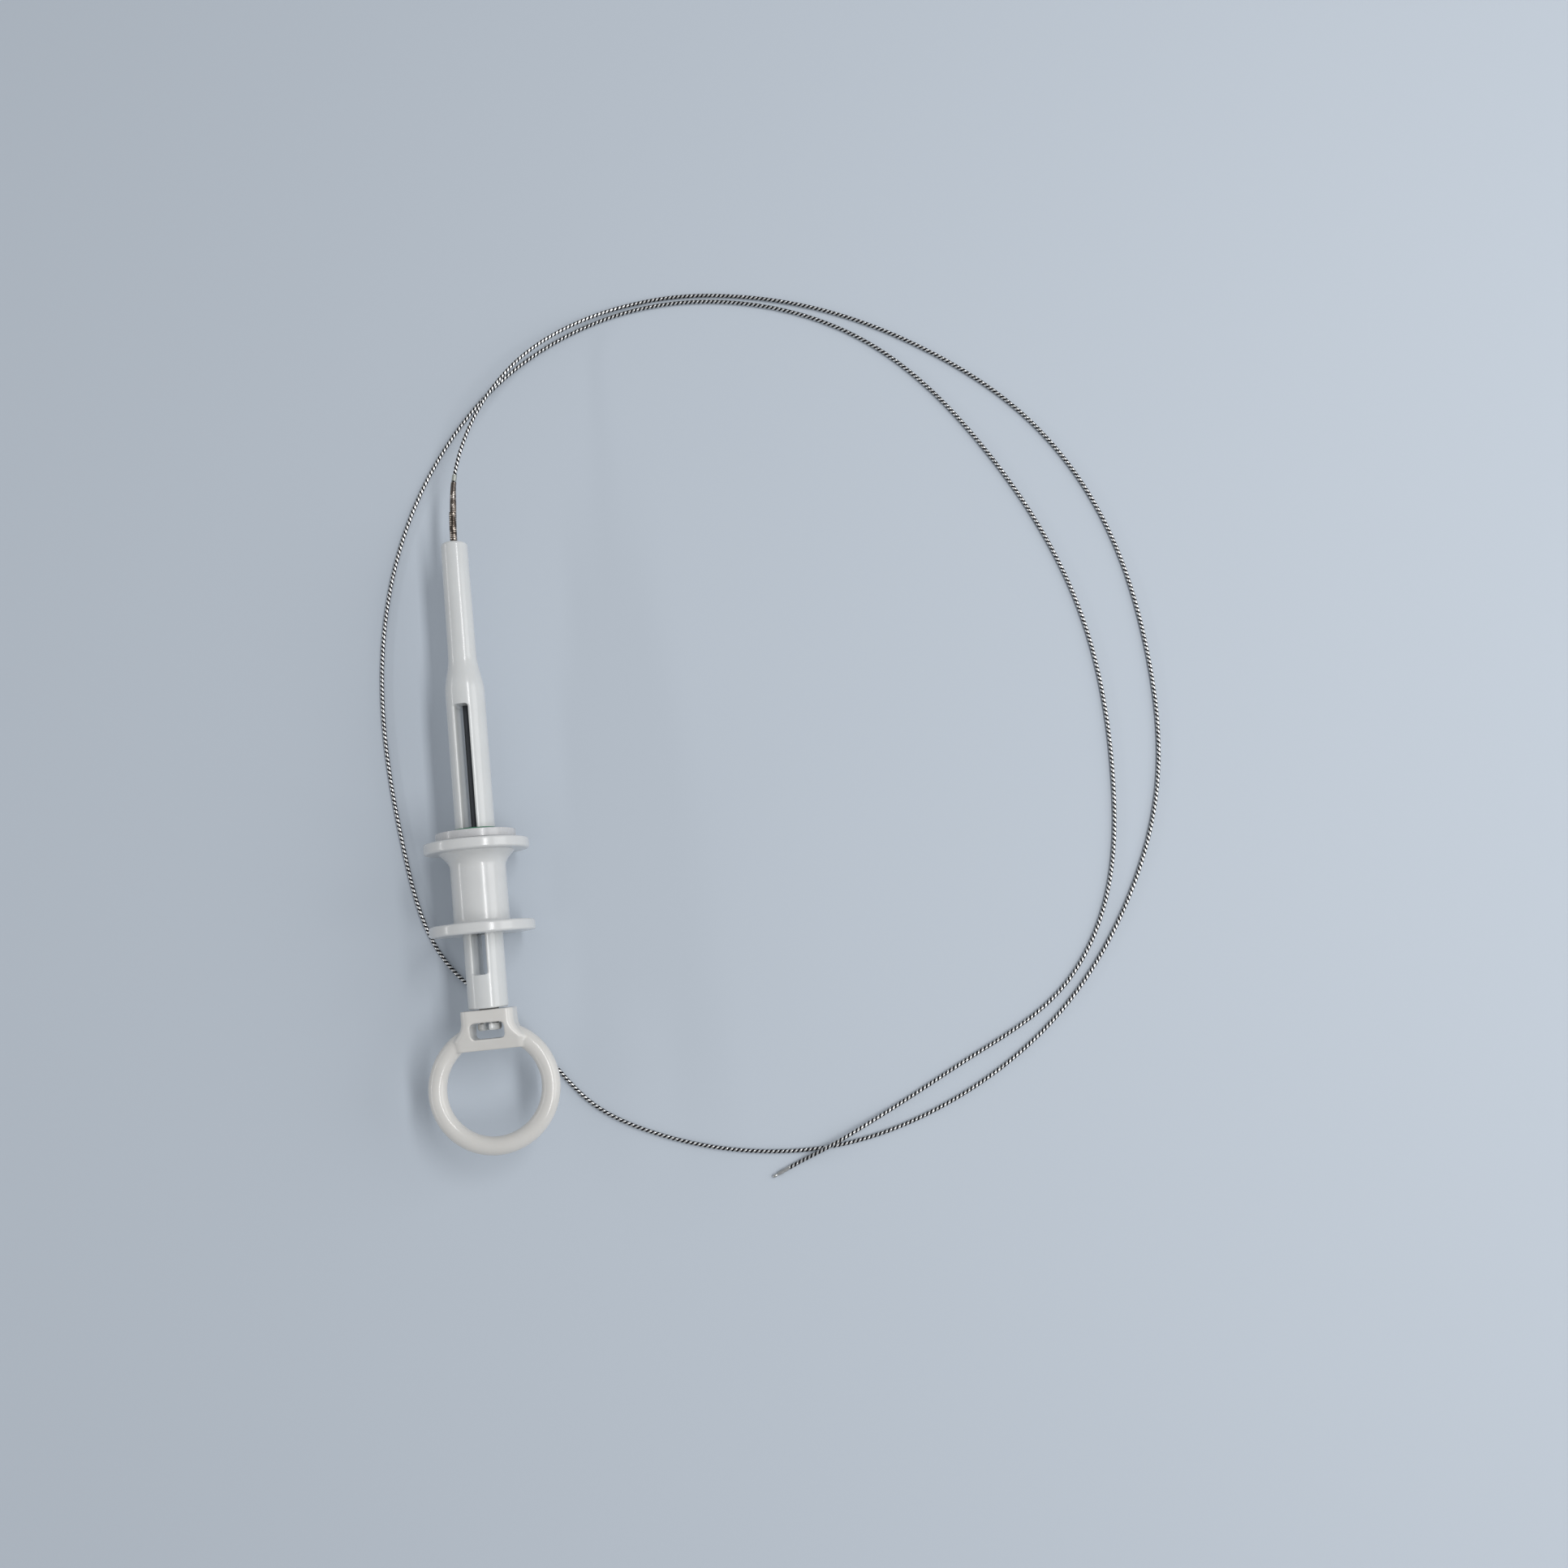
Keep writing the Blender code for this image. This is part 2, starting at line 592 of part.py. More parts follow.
def sheath_and_guards(line, whole):
    """The coil sheath as a plain tube on its route, and the ferrule and guards that hold it at the nose."""
    sheath = SHEATH_D / 2
    inside = SHEATH_START
    bore = sheath + COIL_CLEARANCE
    outer_bore = INNER_GUARD_D / 2 + COIL_CLEARANCE
    guard_start = FERRULE_LENGTH + SEAM
    collar_start = inside + INNER_GUARD_END + SEAM
    light, dark = (0.6, 0.6, 0.6), (0.33, 0.28, 0.25)
    for name, start, end, diameter, bore_r, steps, colour in (
        ("sheath_ferrule", 0, FERRULE_LENGTH, FERRULE_D, bore + COIL_CLEARANCE, 3, light),
        ("outer_guard", guard_start, inside + OUTER_GUARD_END, OUTER_GUARD_D, outer_bore, 4, dark),
        ("inner_guard", guard_start, inside + INNER_GUARD_END, INNER_GUARD_D, bore, 7, dark),
        ("guard_collar", collar_start, inside + GUARD_COLLAR_END, GUARD_COLLAR_D, bore, 2, light),
    ):
        tube = swept_tube(line, start, end, diameter / 2, bore_r, steps)
        finish(name, tube, steel(f"{name}_steel", colour))
    guarded = inside + GUARD_COLLAR_END
    near = np.arange(0, guarded, guarded / 10)
    far = np.linspace(guarded, whole, 2 + int((whole - guarded) / POINT_SPACING))
    curve = bpy.data.curves.new("coil_sheath", "CURVE")
    curve.dimensions = "3D"
    curve.bevel_depth = sheath
    curve.bevel_resolution = 2
    curve.use_fill_caps = True
    lengths = np.concatenate([near, far])
    spline = curve.splines.new("POLY")
    spline.points.add(len(lengths) - 1)
    for point, length in zip(spline.points, lengths):
        point.co = (*line(length), 1.0)
    curve.materials.append(steel("sheath_steel", (0.45, 0.44, 0.43), 0.35))
    made = bpy.data.objects.new("coil_sheath", curve)
    bpy.context.collection.objects.link(made)


def tip_sleeve(tip):
    """The sleeve at the sheath's end: bored for the pusher, slotted for the jaws, a pin across its fork."""
    outer, edge = SLEEVE_D / 2, SLEEVE_EDGE_R
    back = PIVOT_TO_FRONT - SLEEVE_LENGTH
    profile = [(back, 0), (back, outer)]
    profile += arc((PIVOT_TO_FRONT - edge, outer - edge), edge, 90, 0, 3) + [(PIVOT_TO_FRONT, 0)]
    made = finish("tip_sleeve", lathe(profile, 24, "X", flat_up=True), steel("sleeve_steel"), tip)
    boolean(made, rod(SLEEVE_BORE / 2, back - outer, -BORE_PAST_PIVOT, 20, axis="X", flat_up=True))
    slot_length = FORK_DEPTH + 2 * PIVOT_TO_FRONT
    boolean(made, box((slot_length, 2 * SLEEVE_D, FORK_SLOT), (slot_length / 2 - FORK_DEPTH, 0, 0)))
    boolean(made, rod(JAW_PIN_D / 2 + PIN_CLEARANCE, -SLEEVE_D, SLEEVE_D, 12))
    half = outer - PIN_SETBACK
    finish("jaw_pin", rod(JAW_PIN_D / 2, -half, half, 12), steel("jaw_pin_steel"), tip)


def ellipsoid(centre, radii, segments=20, rings=12):
    bm = bmesh.new()
    bmesh.ops.create_uvsphere(bm, u_segments=segments, v_segments=rings, radius=1.0)
    bmesh.ops.rotate(bm, matrix=Matrix.Rotation(math.pi / 2, 3, "Y"), verts=bm.verts)
    bmesh.ops.scale(bm, vec=radii, verts=bm.verts)
    bmesh.ops.translate(bm, vec=centre, verts=bm.verts)
    return bm


def keep_side(bm, point, normal):
    """Cuts a shape by a plane, keeps the side that the normal points to and closes the cut."""
    every = bm.verts[:] + bm.edges[:] + bm.faces[:]
    cut = bmesh.ops.bisect_plane(bm, geom=every, dist=1e-8, plane_co=point, plane_no=normal, clear_inner=True)
    edges = [e for e in cut["geom_cut"] if isinstance(e, bmesh.types.BMEdge)]
    bmesh.ops.contextual_create(bm, geom=edges)


def rim_tooth(angle, side, thickness, grow=0.0):
    """A pointed tooth that stands across the seam on the cup's rim, at an angle round from its front.

    Grown by a clearance and thick enough to pass the wall, the same shape cuts its notch in the other cup.
    """
    reach, height = (CUP_LENGTH - CUP_WALL) / 2, CUP_HALF_HEIGHT - CUP_WALL / 2
    spot = Vector((JAW_REACH - CUP_LENGTH / 2 + reach * math.cos(angle), 0, height * math.sin(angle)))
    out = Vector((math.cos(angle) / reach, 0, math.sin(angle) / height)).normalized()
    along = Vector((-out.z, 0, out.x))
    sections = []
    for place, width, deep in (
        (TOOTH_ROOT, TOOTH_WIDTH, thickness),
        (-TOOTH_HEIGHT - grow, TOOTH_POINT, max(TOOTH_POINT, thickness - TOOTH_THICKNESS)),
    ):
        centre = spot + Vector((0, side * place, 0))
        across, through = (width / 2 + grow) * along, deep / 2 * out
        sections.append([centre + across + through, centre - across + through])
        sections[-1] += [centre - across - through, centre + across - through]
    return loft(sections)


def jaw(tip, name, side):
    """One rat-tooth jaw: a hollow half cup with pointed teeth, a flat hub on the pin and a tail to its link.

    The left cup has one tooth at its front and the right one a tooth on each side of it.
    """
    look = steel(f"{name}_steel", (0.6, 0.6, 0.6), 0.25)
    low = PLATE_GAP / 2 if side > 0 else -PLATE_GAP / 2 - PLATE
    high = low + PLATE
    tail = (-TAIL_REACH * math.cos(TAIL_ANGLE), -side * TAIL_REACH * math.sin(TAIL_ANGLE))
    neck = (JAW_NECK_REACH, side * JAW_NECK_OFFSET)
    made = finish(name, prism(strap((0, 0), HUB_D / 2, tail, TAIL_BOSS_D / 2), low, high), look, tip)
    boolean(made, prism(strap((0, 0), JAW_NECK_ROOT_D / 2, neck, JAW_NECK_END_D / 2), low, high), "UNION")
    middle = JAW_REACH - CUP_LENGTH / 2
    cup = ellipsoid((middle, 0, 0), (CUP_LENGTH / 2, CUP_HALF_WIDTH, CUP_HALF_HEIGHT))
    keep_side(cup, (0, side * CUP_SEAM, 0), (0, side, 0))
    keep_side(cup, (CUP_START, 0, 0), (1, 0, 0))
    boolean(made, cup, "UNION")
    hollow = (CUP_LENGTH / 2 - CUP_WALL, CUP_HALF_WIDTH - CUP_WALL, CUP_HALF_HEIGHT - CUP_WALL)
    boolean(made, ellipsoid((middle, 0, 0), hollow, 16, 10))
    left_angles, right_angles = (0,), (-TOOTH_SPREAD, TOOTH_SPREAD)
    own, other = (left_angles, right_angles) if side > 0 else (right_angles, left_angles)
    for angle in other:
        boolean(made, rim_tooth(angle, -side, 3 * CUP_WALL, TOOTH_CLEARANCE))
    for angle in own:
        boolean(made, rim_tooth(angle, side, TOOTH_THICKNESS), "UNION")
    boolean(made, rod(JAW_PIN_D / 2 + PIN_CLEARANCE, low - PLATE, high + PLATE, 12))
    boolean(made, rod(LINK_PIN_D / 2 + PIN_CLEARANCE, low - PLATE, high + PLATE, 10, tail))
    pin_half = PLATE + PLATE_GAP / 2
    pin = rod(LINK_PIN_D / 2, -pin_half, pin_half, 10, tail)
    finish(name.replace("jaw", "link_pin"), pin, steel("pin_steel"), tip)


def links_and_pusher(tip):
    """Two links from the jaws' tails to the pusher, which slides in the sleeve's bore on the wire's end."""
    tail_x, tail_y = TAIL_REACH * math.cos(TAIL_ANGLE), TAIL_REACH * math.sin(TAIL_ANGLE)
    pin_x = -tail_x - math.sqrt(LINK_LENGTH**2 - tail_y**2)
    swing = math.asin(tail_y / LINK_LENGTH)
    pin_centre = (pin_x, 0, 0)
    for name, side in (("link_left", 1), ("link_right", -1)):
        low = -PLATE_GAP / 2 - PLATE if side > 0 else PLATE_GAP / 2
        outline = strap((0, 0), LINK_ROOT_D / 2, (LINK_LENGTH, 0), LINK_EYE_D / 2)
        turn = (0, 0, -side * swing)
        made = finish(name, prism(outline, low, low + PLATE), steel(f"{name}_steel"), tip, pin_centre, turn)
        boolean(made, rod(LINK_PIN_D / 2 + PIN_CLEARANCE, low - PLATE, low + 2 * PLATE, 10))
        eye = LINK_PIN_D / 2 + LINK_SLACK
        boolean(made, rod(eye, low - PLATE, low + 2 * PLATE, 12, (LINK_LENGTH, 0)))
    radius = PUSHER_D / 2
    profile = [(PUSHER_FRONT - PUSHER_LENGTH, 0), (PUSHER_FRONT - PUSHER_LENGTH, radius)]
    profile += [(PUSHER_FRONT, radius), (PUSHER_FRONT, 0)]
    made = finish("pusher", lathe(profile, 20, "X", flat_up=True), steel("pusher_steel"), tip, pin_centre)
    fork = LINK_ROOT_D / 2 + PIN_CLEARANCE + PUSHER_FRONT
    boolean(made, box((2 * fork, 2 * PUSHER_D, FORK_SLOT), (PUSHER_FRONT, 0, 0)))
    boolean(made, rod(LINK_PIN_D / 2 + PIN_CLEARANCE, -PUSHER_D, PUSHER_D, 10))
    half = radius - PIN_SETBACK
    finish("pusher_pin", rod(LINK_PIN_D / 2, -half, half, 10), steel("pusher_pin_steel"), tip, pin_centre)


for old in list(bpy.data.objects):
    bpy.data.objects.remove(old, do_unlink=True)

handle_axis = empty("handle_axis", (0, 0, HANDLE_Z))
slider_axis = empty("slider_axis", (0, NOSE_Y - SLIDER_FRONT, 0), parent=handle_axis)
handle_body(handle_axis)
thumb_ring(handle_axis)
slider_spool(slider_axis)
slider_cap(slider_axis)
slider_core(slider_axis)
sheath_line, sheath_length = smooth_line(SHEATH_ROUTE)
sheath_and_guards(sheath_line, sheath_length)
reach = SLEEVE_GAP + SLEEVE_LENGTH - PIVOT_TO_FRONT
pivot_x = SHEATH_END[0] + reach * math.cos(TIP_HEADING)
pivot_y = SHEATH_END[1] + reach * math.sin(TIP_HEADING)
tip_pivot = empty("tip_pivot", (pivot_x, pivot_y, SHEATH_Z), TIP_HEADING)
tip_sleeve(tip_pivot)
jaw(tip_pivot, "jaw_left", 1)
jaw(tip_pivot, "jaw_right", -1)
links_and_pusher(tip_pivot)
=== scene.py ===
"""Looks of the endoscopic biopsy forceps: white handle, bright coil sheath in two loops and steel jaws."""

import math

import bmesh
import bpy
import numpy as np
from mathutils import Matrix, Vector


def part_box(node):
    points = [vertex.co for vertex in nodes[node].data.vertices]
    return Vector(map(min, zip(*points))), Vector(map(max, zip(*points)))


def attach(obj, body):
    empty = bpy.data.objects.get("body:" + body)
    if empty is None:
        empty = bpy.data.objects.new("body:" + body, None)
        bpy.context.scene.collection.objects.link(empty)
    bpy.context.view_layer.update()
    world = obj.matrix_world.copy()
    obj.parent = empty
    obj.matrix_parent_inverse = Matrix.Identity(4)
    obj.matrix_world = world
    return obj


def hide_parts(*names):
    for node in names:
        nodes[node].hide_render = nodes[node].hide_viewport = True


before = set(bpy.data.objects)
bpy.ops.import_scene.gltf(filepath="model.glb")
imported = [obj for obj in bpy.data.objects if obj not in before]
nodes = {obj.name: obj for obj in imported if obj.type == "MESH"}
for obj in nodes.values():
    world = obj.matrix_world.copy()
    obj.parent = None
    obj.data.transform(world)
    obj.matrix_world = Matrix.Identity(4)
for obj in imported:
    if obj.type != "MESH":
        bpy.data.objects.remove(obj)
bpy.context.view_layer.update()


# Handle body. One glossy white moulding: a thin nose tube, a cone and a round body slotted right through.
# Its split tail snaps into the thumb ring, and everything else is fixed to it or slides on it.
MM = 0.001
body_low, body_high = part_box("handle_body")
nose_y = body_high.y
axis_z = (body_low.z + body_high.z) / 2
nose_bore_r, nose_r, root_r, body_r = 1.3 * MM, 3.45 * MM, 3.6 * MM, 5.0 * MM
nose_bore_depth, nose_length, cone_length, body_end = 14.0 * MM, 29.4 * MM, 10.6 * MM, 121.4 * MM
mouth_edge, nose_edge, root_round = 0.25 * MM, 0.9 * MM, 8 * MM
cone_run_in, cone_run_in_rise, cone_steps = 1.2 * MM, 0.05 * MM, 25
slot_start, slot_end, slot_half, slot_corner = 43.7 * MM, 113.0 * MM, 1.8 * MM, 0.7 * MM
slot_turn = math.radians(-6)
slot_lip = 0.35 * MM
body_edge, tail_fillet = 0.4 * MM, 0.3 * MM
tail_r, tail_head_r, tail_end_r, tail_half_gap = 2.3 * MM, 3.0 * MM, 2.7 * MM, 0.725 * MM
tail_start, tail_head, tail_end = 121.7 * MM, 125.2 * MM, 126.9 * MM
barb_length, barb_edge, barb_bend, prong_edge = 1.2 * MM, 0.12 * MM, 0.2 * MM, 0.15 * MM
tube_way_r, tube_way_overlap = 1.05 * MM, 2.0 * MM
arc_points = 44
sharp_edge = math.radians(35)


def rounded_profile(corners, steps=6):
    """Joins corners (along, out, radius) by straight runs, with an arc tangent to both at each corner."""
    spots = np.array([c[:2] for c in corners], float)
    points = []
    for k, (_, _, radius) in enumerate(corners):
        here = spots[k]
        if radius == 0:
            points.append(here[None])
            continue
        back = spots[k - 1] - here
        on = spots[(k + 1) % len(spots)] - here
        back, on = back / np.linalg.norm(back), on / np.linalg.norm(on)
        half = math.acos(np.clip(back @ on, -1, 1)) / 2
        middle = (back + on) / np.linalg.norm(back + on)
        centre = here + middle * radius / math.sin(half)
        first = here + back * radius / math.tan(half) - centre
        last = here + on * radius / math.tan(half) - centre
        start = math.atan2(first[1], first[0])
        sweep = (math.atan2(last[1], last[0]) - start + math.pi) % (2 * math.pi) - math.pi
        turn = start + sweep * np.linspace(0, 1, steps + 1)
        points.append(centre + radius * np.stack([np.cos(turn), np.sin(turn)], -1))
    return np.concatenate(points)


def quads(rows, columns, wrap_rows=False, wrap_columns=True):
    """Point numbers of the faces between neighbours on a grid of rows and columns."""
    r = np.arange(rows if wrap_rows else rows - 1)[:, None]
    c = np.arange(columns if wrap_columns else columns - 1)[None, :]
    up, across = (r + 1) % rows, (c + 1) % columns
    faces = [r * columns + c, r * columns + across, up * columns + across, up * columns + c]
    return np.stack(np.broadcast_arrays(*faces), -1).reshape(-1, 4)


def placed(name, data):
    """Puts a mesh, a lamp or a camera into the scene as an object."""
    item = bpy.data.objects.new(name, data)
    bpy.context.scene.collection.objects.link(item)
    return item


def mesh_piece(name, points, faces, look, merge=2e-7):
    """A closed mesh of grid points: coinciding points merged, faces turned outwards, rounds shaded smooth."""
    mesh = bpy.data.meshes.new(name)
    mesh.from_pydata(points.reshape(-1, 3).tolist(), [], faces.tolist())
    bm = bmesh.new()
    bm.from_mesh(mesh)
    bmesh.ops.remove_doubles(bm, verts=bm.verts, dist=merge)
    bmesh.ops.dissolve_degenerate(bm, edges=bm.edges, dist=merge)
    bmesh.ops.recalc_face_normals(bm, faces=bm.faces)
    bm.to_mesh(mesh)
    bm.free()
    mesh.shade_smooth()
    mesh.set_sharp_from_angle(angle=sharp_edge)
    if look:
        mesh.materials.append(look)
    return placed(name, mesh)


def half_outline(radius, wall, lip, around, corner=6, flat=4):
    """Outline of half a round bar cut by a wall: an arc, the wall, and a small arc where the two meet."""
    radius, wall, lip = (v[:, None] for v in (radius, wall, lip))
    middle = wall + lip
    rise = np.sqrt(np.maximum((radius - lip) ** 2 - middle**2, 0))
    edge = np.arctan2(rise, middle)
    turn = edge * np.linspace(-1, 1, around)
    outer = np.stack([radius * np.cos(turn), radius * np.sin(turn)], -1)
    bend = edge + (math.pi - edge) * np.linspace(0, 1, corner + 1)[1:]
    top = np.stack([middle + lip * np.cos(bend), rise + lip * np.sin(bend)], -1)
    down = rise * np.linspace(1, -1, flat + 2)[1:-1]
    side = np.stack([wall + 0 * down, down], -1)
    bottom = top[:, ::-1] * [1, -1]
    return np.concatenate([outer, top, side, bottom], axis=1)


def turned(name, profile, look, segments=144, closed=True):
    """Turns a profile of (place along Y, radius) round the handle's axis."""
    a = np.linspace(0, 2 * math.pi, segments, endpoint=False)
    y, r = profile[:, :1], profile[:, 1:]
    points = np.stack([r * np.cos(a), y + 0 * a, axis_z + r * np.sin(a)], -1)
    return mesh_piece(name, points, quads(len(profile), segments, wrap_rows=closed), look)


def joined_and_cut(name, piece, tools, look, voxel=None, smoothing=0, sharp=math.pi):
    """Joins and cuts the piece with its tools; given a voxel size, remeshes finely and smooths every edge."""
    for tool, operation in tools:
        step = piece.modifiers.new(tool.name, "BOOLEAN")
        step.operation = operation
        step.solver = "EXACT"
        step.object = tool
    if voxel:
        remesh = piece.modifiers.new("one_skin", "REMESH")
        remesh.mode = "VOXEL"
        remesh.voxel_size = voxel
        soften = piece.modifiers.new("soft_edges", "SMOOTH")
        soften.factor = 0.5
        soften.iterations = smoothing
    evaluated = piece.evaluated_get(bpy.context.evaluated_depsgraph_get())
    mesh = bpy.data.meshes.new_from_object(evaluated)
    for old in [piece, *[tool for tool, _ in tools]]:
        bpy.data.objects.remove(old, do_unlink=True)
    mesh.materials.clear()
    mesh.materials.append(look)
    mesh.shade_smooth()
    mesh.set_sharp_from_angle(angle=sharp)
    return placed(name, mesh)


def new_look(name):
    """A new material, its node tree and its shader."""
    look = bpy.data.materials.new(name)
    look.use_nodes = True
    return look, look.node_tree, look.node_tree.nodes["Principled BSDF"]


def clouds(tree, place, scale, detail):
    """Cloudy noise from 0 to 1 over the given coordinates."""
    noise = tree.nodes.new("ShaderNodeTexNoise")
    noise.inputs["Scale"].default_value = scale
    noise.inputs["Detail"].default_value = detail
    tree.links.new(place, noise.inputs["Vector"])
    return noise.outputs["Fac"]


def tones(tree, value, low, high, low_at=0.3, high_at=0.7):
    """Colours a value: the low tone up to low_at, the high tone from high_at on, and a blend between them."""
    ramp = tree.nodes.new("ShaderNodeValToRGB")
    for element, position, colour in zip(ramp.color_ramp.elements, (low_at, high_at), (low, high)):
        element.position = position
        element.color = (*colour, 1)
    tree.links.new(value, ramp.inputs["Fac"])
    return ramp.outputs["Color"]


def uneven_gloss(tree, value, shader, least, most):
    """Spreads the shader's roughness from least to most as the value goes from 0 to 1."""
    spread = tree.nodes.new("ShaderNodeMapRange")
    spread.inputs["To Min"].default_value = least
    spread.inputs["To Max"].default_value = most
    tree.links.new(value, spread.inputs["Value"])
    tree.links.new(spread.outputs["Result"], shader.inputs["Roughness"])


def relief(tree, height, shader, strength, distance):
    """Lets the surface look raised by the distance where the height is 1."""
    bump = tree.nodes.new("ShaderNodeBump")
    bump.inputs["Strength"].default_value = strength
    bump.inputs["Distance"].default_value = distance
    tree.links.new(height, bump.inputs["Height"])
    tree.links.new(bump.outputs["Normal"], shader.inputs["Normal"])


def moulded_white(name, colour, roughness=0.22):
    """Injection-moulded plastic: clouded colour, slightly uneven gloss, faint flow marks and a soft glow."""
    look, tree, shader = new_look(name)
    shader.inputs["IOR"].default_value = 1.53
    shader.inputs["Subsurface Weight"].default_value = 0.12
    shader.inputs["Subsurface Radius"].default_value = (1.0, 0.9, 0.8)
    shader.inputs["Subsurface Scale"].default_value = 1.2 * MM
    shader.inputs["Coat Weight"].default_value = 0.25
    shader.inputs["Coat Roughness"].default_value = 0.08
    shade, grain = 0.04, 0.012 * MM
    place = tree.nodes.new("ShaderNodeTexCoord").outputs["Object"]
    cloud = clouds(tree, place, 160, 3)
    tone = tones(tree, cloud, [c * (1 - shade) for c in colour], colour)
    tree.links.new(tone, shader.inputs["Base Color"])
    uneven_gloss(tree, cloud, shader, roughness - 0.04, roughness + 0.06)
    relief(tree, clouds(tree, place, 900, 4), shader, 0.25, grain)
    return look


nose = rounded_profile(
    [
        (nose_bore_depth, 0, 0),
        (nose_bore_depth, nose_bore_r, 0),
        (0, nose_bore_r, mouth_edge),
        (0, nose_r, nose_edge),
        (nose_length, root_r, root_round),
        (nose_length + cone_run_in, root_r + cone_run_in_rise, 0),
    ],
    8,
)
share = np.linspace(0, 1, cone_steps + 1)[1:]
cone_start = nose[-1, 0]
cone_s = cone_start + (nose_length + cone_length - cone_start) * share
cone_out = nose[-1, 1] + (body_r - nose[-1, 1]) * share**2 * (3 - 2 * share)
bend = np.linspace(0, math.pi / 2, 8)
corner_s, corner_wall = slot_corner * (1 - np.cos(bend)), slot_half - slot_corner * (1 - np.sin(bend))
shoulder = rounded_profile(
    [
        (slot_end, body_r, 0),
        (body_end, body_r, body_edge),
        (body_end, tail_r, tail_fillet),
        (tail_start, tail_r, 0),
    ]
)
prong = rounded_profile(
    [
        (tail_start, tail_r, 0),
        (tail_head, tail_r, 0),
        (tail_head, tail_head_r, barb_edge),
        (tail_head + barb_length, tail_head_r, barb_bend),
        (tail_end, tail_end_r, prong_edge),
        (tail_end, tail_half_gap, 0),
    ],
    4,
)
body_s = np.concatenate(
    [
        nose[:, 0],
        cone_s,
        [slot_start],
        slot_start + corner_s,
        slot_end - corner_s[::-1],
        shoulder[:, 0],
        prong[:, 0],
    ]
)
body_out = np.concatenate(
    [nose[:, 1], cone_out, np.full(1 + 2 * len(bend), body_r), shoulder[:, 1], prong[:, 1]]
)
solid = np.zeros(len(nose) + len(cone_s) + 1)
body_wall = np.concatenate(
    [solid, corner_wall, corner_wall[::-1], np.zeros(len(shoulder)), np.full(len(prong), tail_half_gap)]
)
lip_share = np.sin(bend)
body_lip = np.concatenate(
    [solid, slot_lip * lip_share, slot_lip * lip_share[::-1], np.zeros(len(shoulder) + len(prong))]
)
half = half_outline(body_out, body_wall, body_lip, arc_points)
rows, columns = half.shape[:2]
whole = quads(rows, columns)
# Where no wall cuts the bar, only its arc gets faces, and the two halves join along the arcs' ends.
row, column = np.divmod(whole[:, 0], columns)
cut = (body_wall[row] > 0) | (body_wall[row + 1] > 0)
whole = whole[(column < arc_points - 1) | cut]
local_y = np.broadcast_to(nose_y - body_s[:, None], half.shape[:2])
sides = []
for mirror in (1, -1):
    x, z = mirror * half[..., 0], half[..., 1]
    turned_x = x * math.cos(slot_turn) + z * math.sin(slot_turn)
    turned_z = -x * math.sin(slot_turn) + z * math.cos(slot_turn)
    sides.append(np.stack([turned_x, local_y, axis_z + turned_z], -1))
uncut = mesh_piece("body_moulding", np.stack(sides), np.concatenate([whole, whole + rows * columns]), None)
way_start = nose_y - nose_bore_depth + tube_way_overlap
way_end = nose_y - slot_start - tube_way_overlap
tube_way = turned(
    "tube_way",
    np.array([[way_start, 0], [way_start, tube_way_r], [way_end, tube_way_r], [way_end, 0]]),
    None,
    48,
    closed=False,
)
body_plastic = moulded_white("body_plastic", (0.61, 0.62, 0.615))
body = joined_and_cut("handle_body_finish", uncut, [(tube_way, "DIFFERENCE")], body_plastic, sharp=sharp_edge)
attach(body, "handle")
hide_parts("handle_body")


# Drive tube, crossbar, grub screw and pull wire. Drawn stainless tube and wire, and a milled bar across the
# slot. The tube is coloured near black as painted shade of the deep slot. The screw pinches the tube in the
# bar, and the spool pushes the bar, so all of them slide together.
def drawn_steel(name, colour, roughness, streak=(1, 1, 1)):
    """Stainless steel with drawing lines: noise stretched along the piece drives tone, gloss and bump."""
    look, tree, shader = new_look(name)
    shader.inputs["Metallic"].default_value = 1.0
    wear = 0.1
    stretch = tree.nodes.new("ShaderNodeMapping")
    stretch.inputs["Scale"].default_value = streak
    tree.links.new(tree.nodes.new("ShaderNodeTexCoord").outputs["Object"], stretch.inputs["Vector"])
    lines = clouds(tree, stretch.outputs["Vector"], 2500, 3)
    tone = tones(tree, lines, [c * (1 - wear) for c in colour], colour)
    tree.links.new(tone, shader.inputs["Base Color"])
    uneven_gloss(tree, lines, shader, roughness - 0.06, roughness + 0.08)
    relief(tree, lines, shader, 0.3, 0.004 * MM)
    return look


tube_low, tube_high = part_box("drive_tube")
tube_r, tube_bore_r = 0.9 * MM, 0.4 * MM
tube_edge = 0.12 * MM
# The tube's near-black colour is painted shade: it stands for the dark deep in the slot, not for the steel.
tube = turned(
    "drive_tube_finish",
    rounded_profile(
        [
            (tube_high.y, tube_r, tube_edge),
            (tube_low.y, tube_r, tube_edge),
            (tube_low.y, tube_bore_r, 0),
            (tube_high.y, tube_bore_r, 0),
        ],
        4,
    ),
    drawn_steel("tube_steel", (0.10, 0.105, 0.115), 0.34, (1, 0.05, 1)),
    48,
)
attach(tube, "slider")
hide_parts("drive_tube")
for name, look in (
    ("crossbar", drawn_steel("bar_steel", (0.5, 0.5, 0.49), 0.3, (1, 0.1, 1))),
    ("grub_screw", drawn_steel("screw_steel", (0.35, 0.35, 0.35), 0.35)),
    ("pull_wire", drawn_steel("wire_steel", (0.5, 0.5, 0.5), 0.25, (1, 0.05, 1))),
):
    nodes[name].material_slots[0].material = look


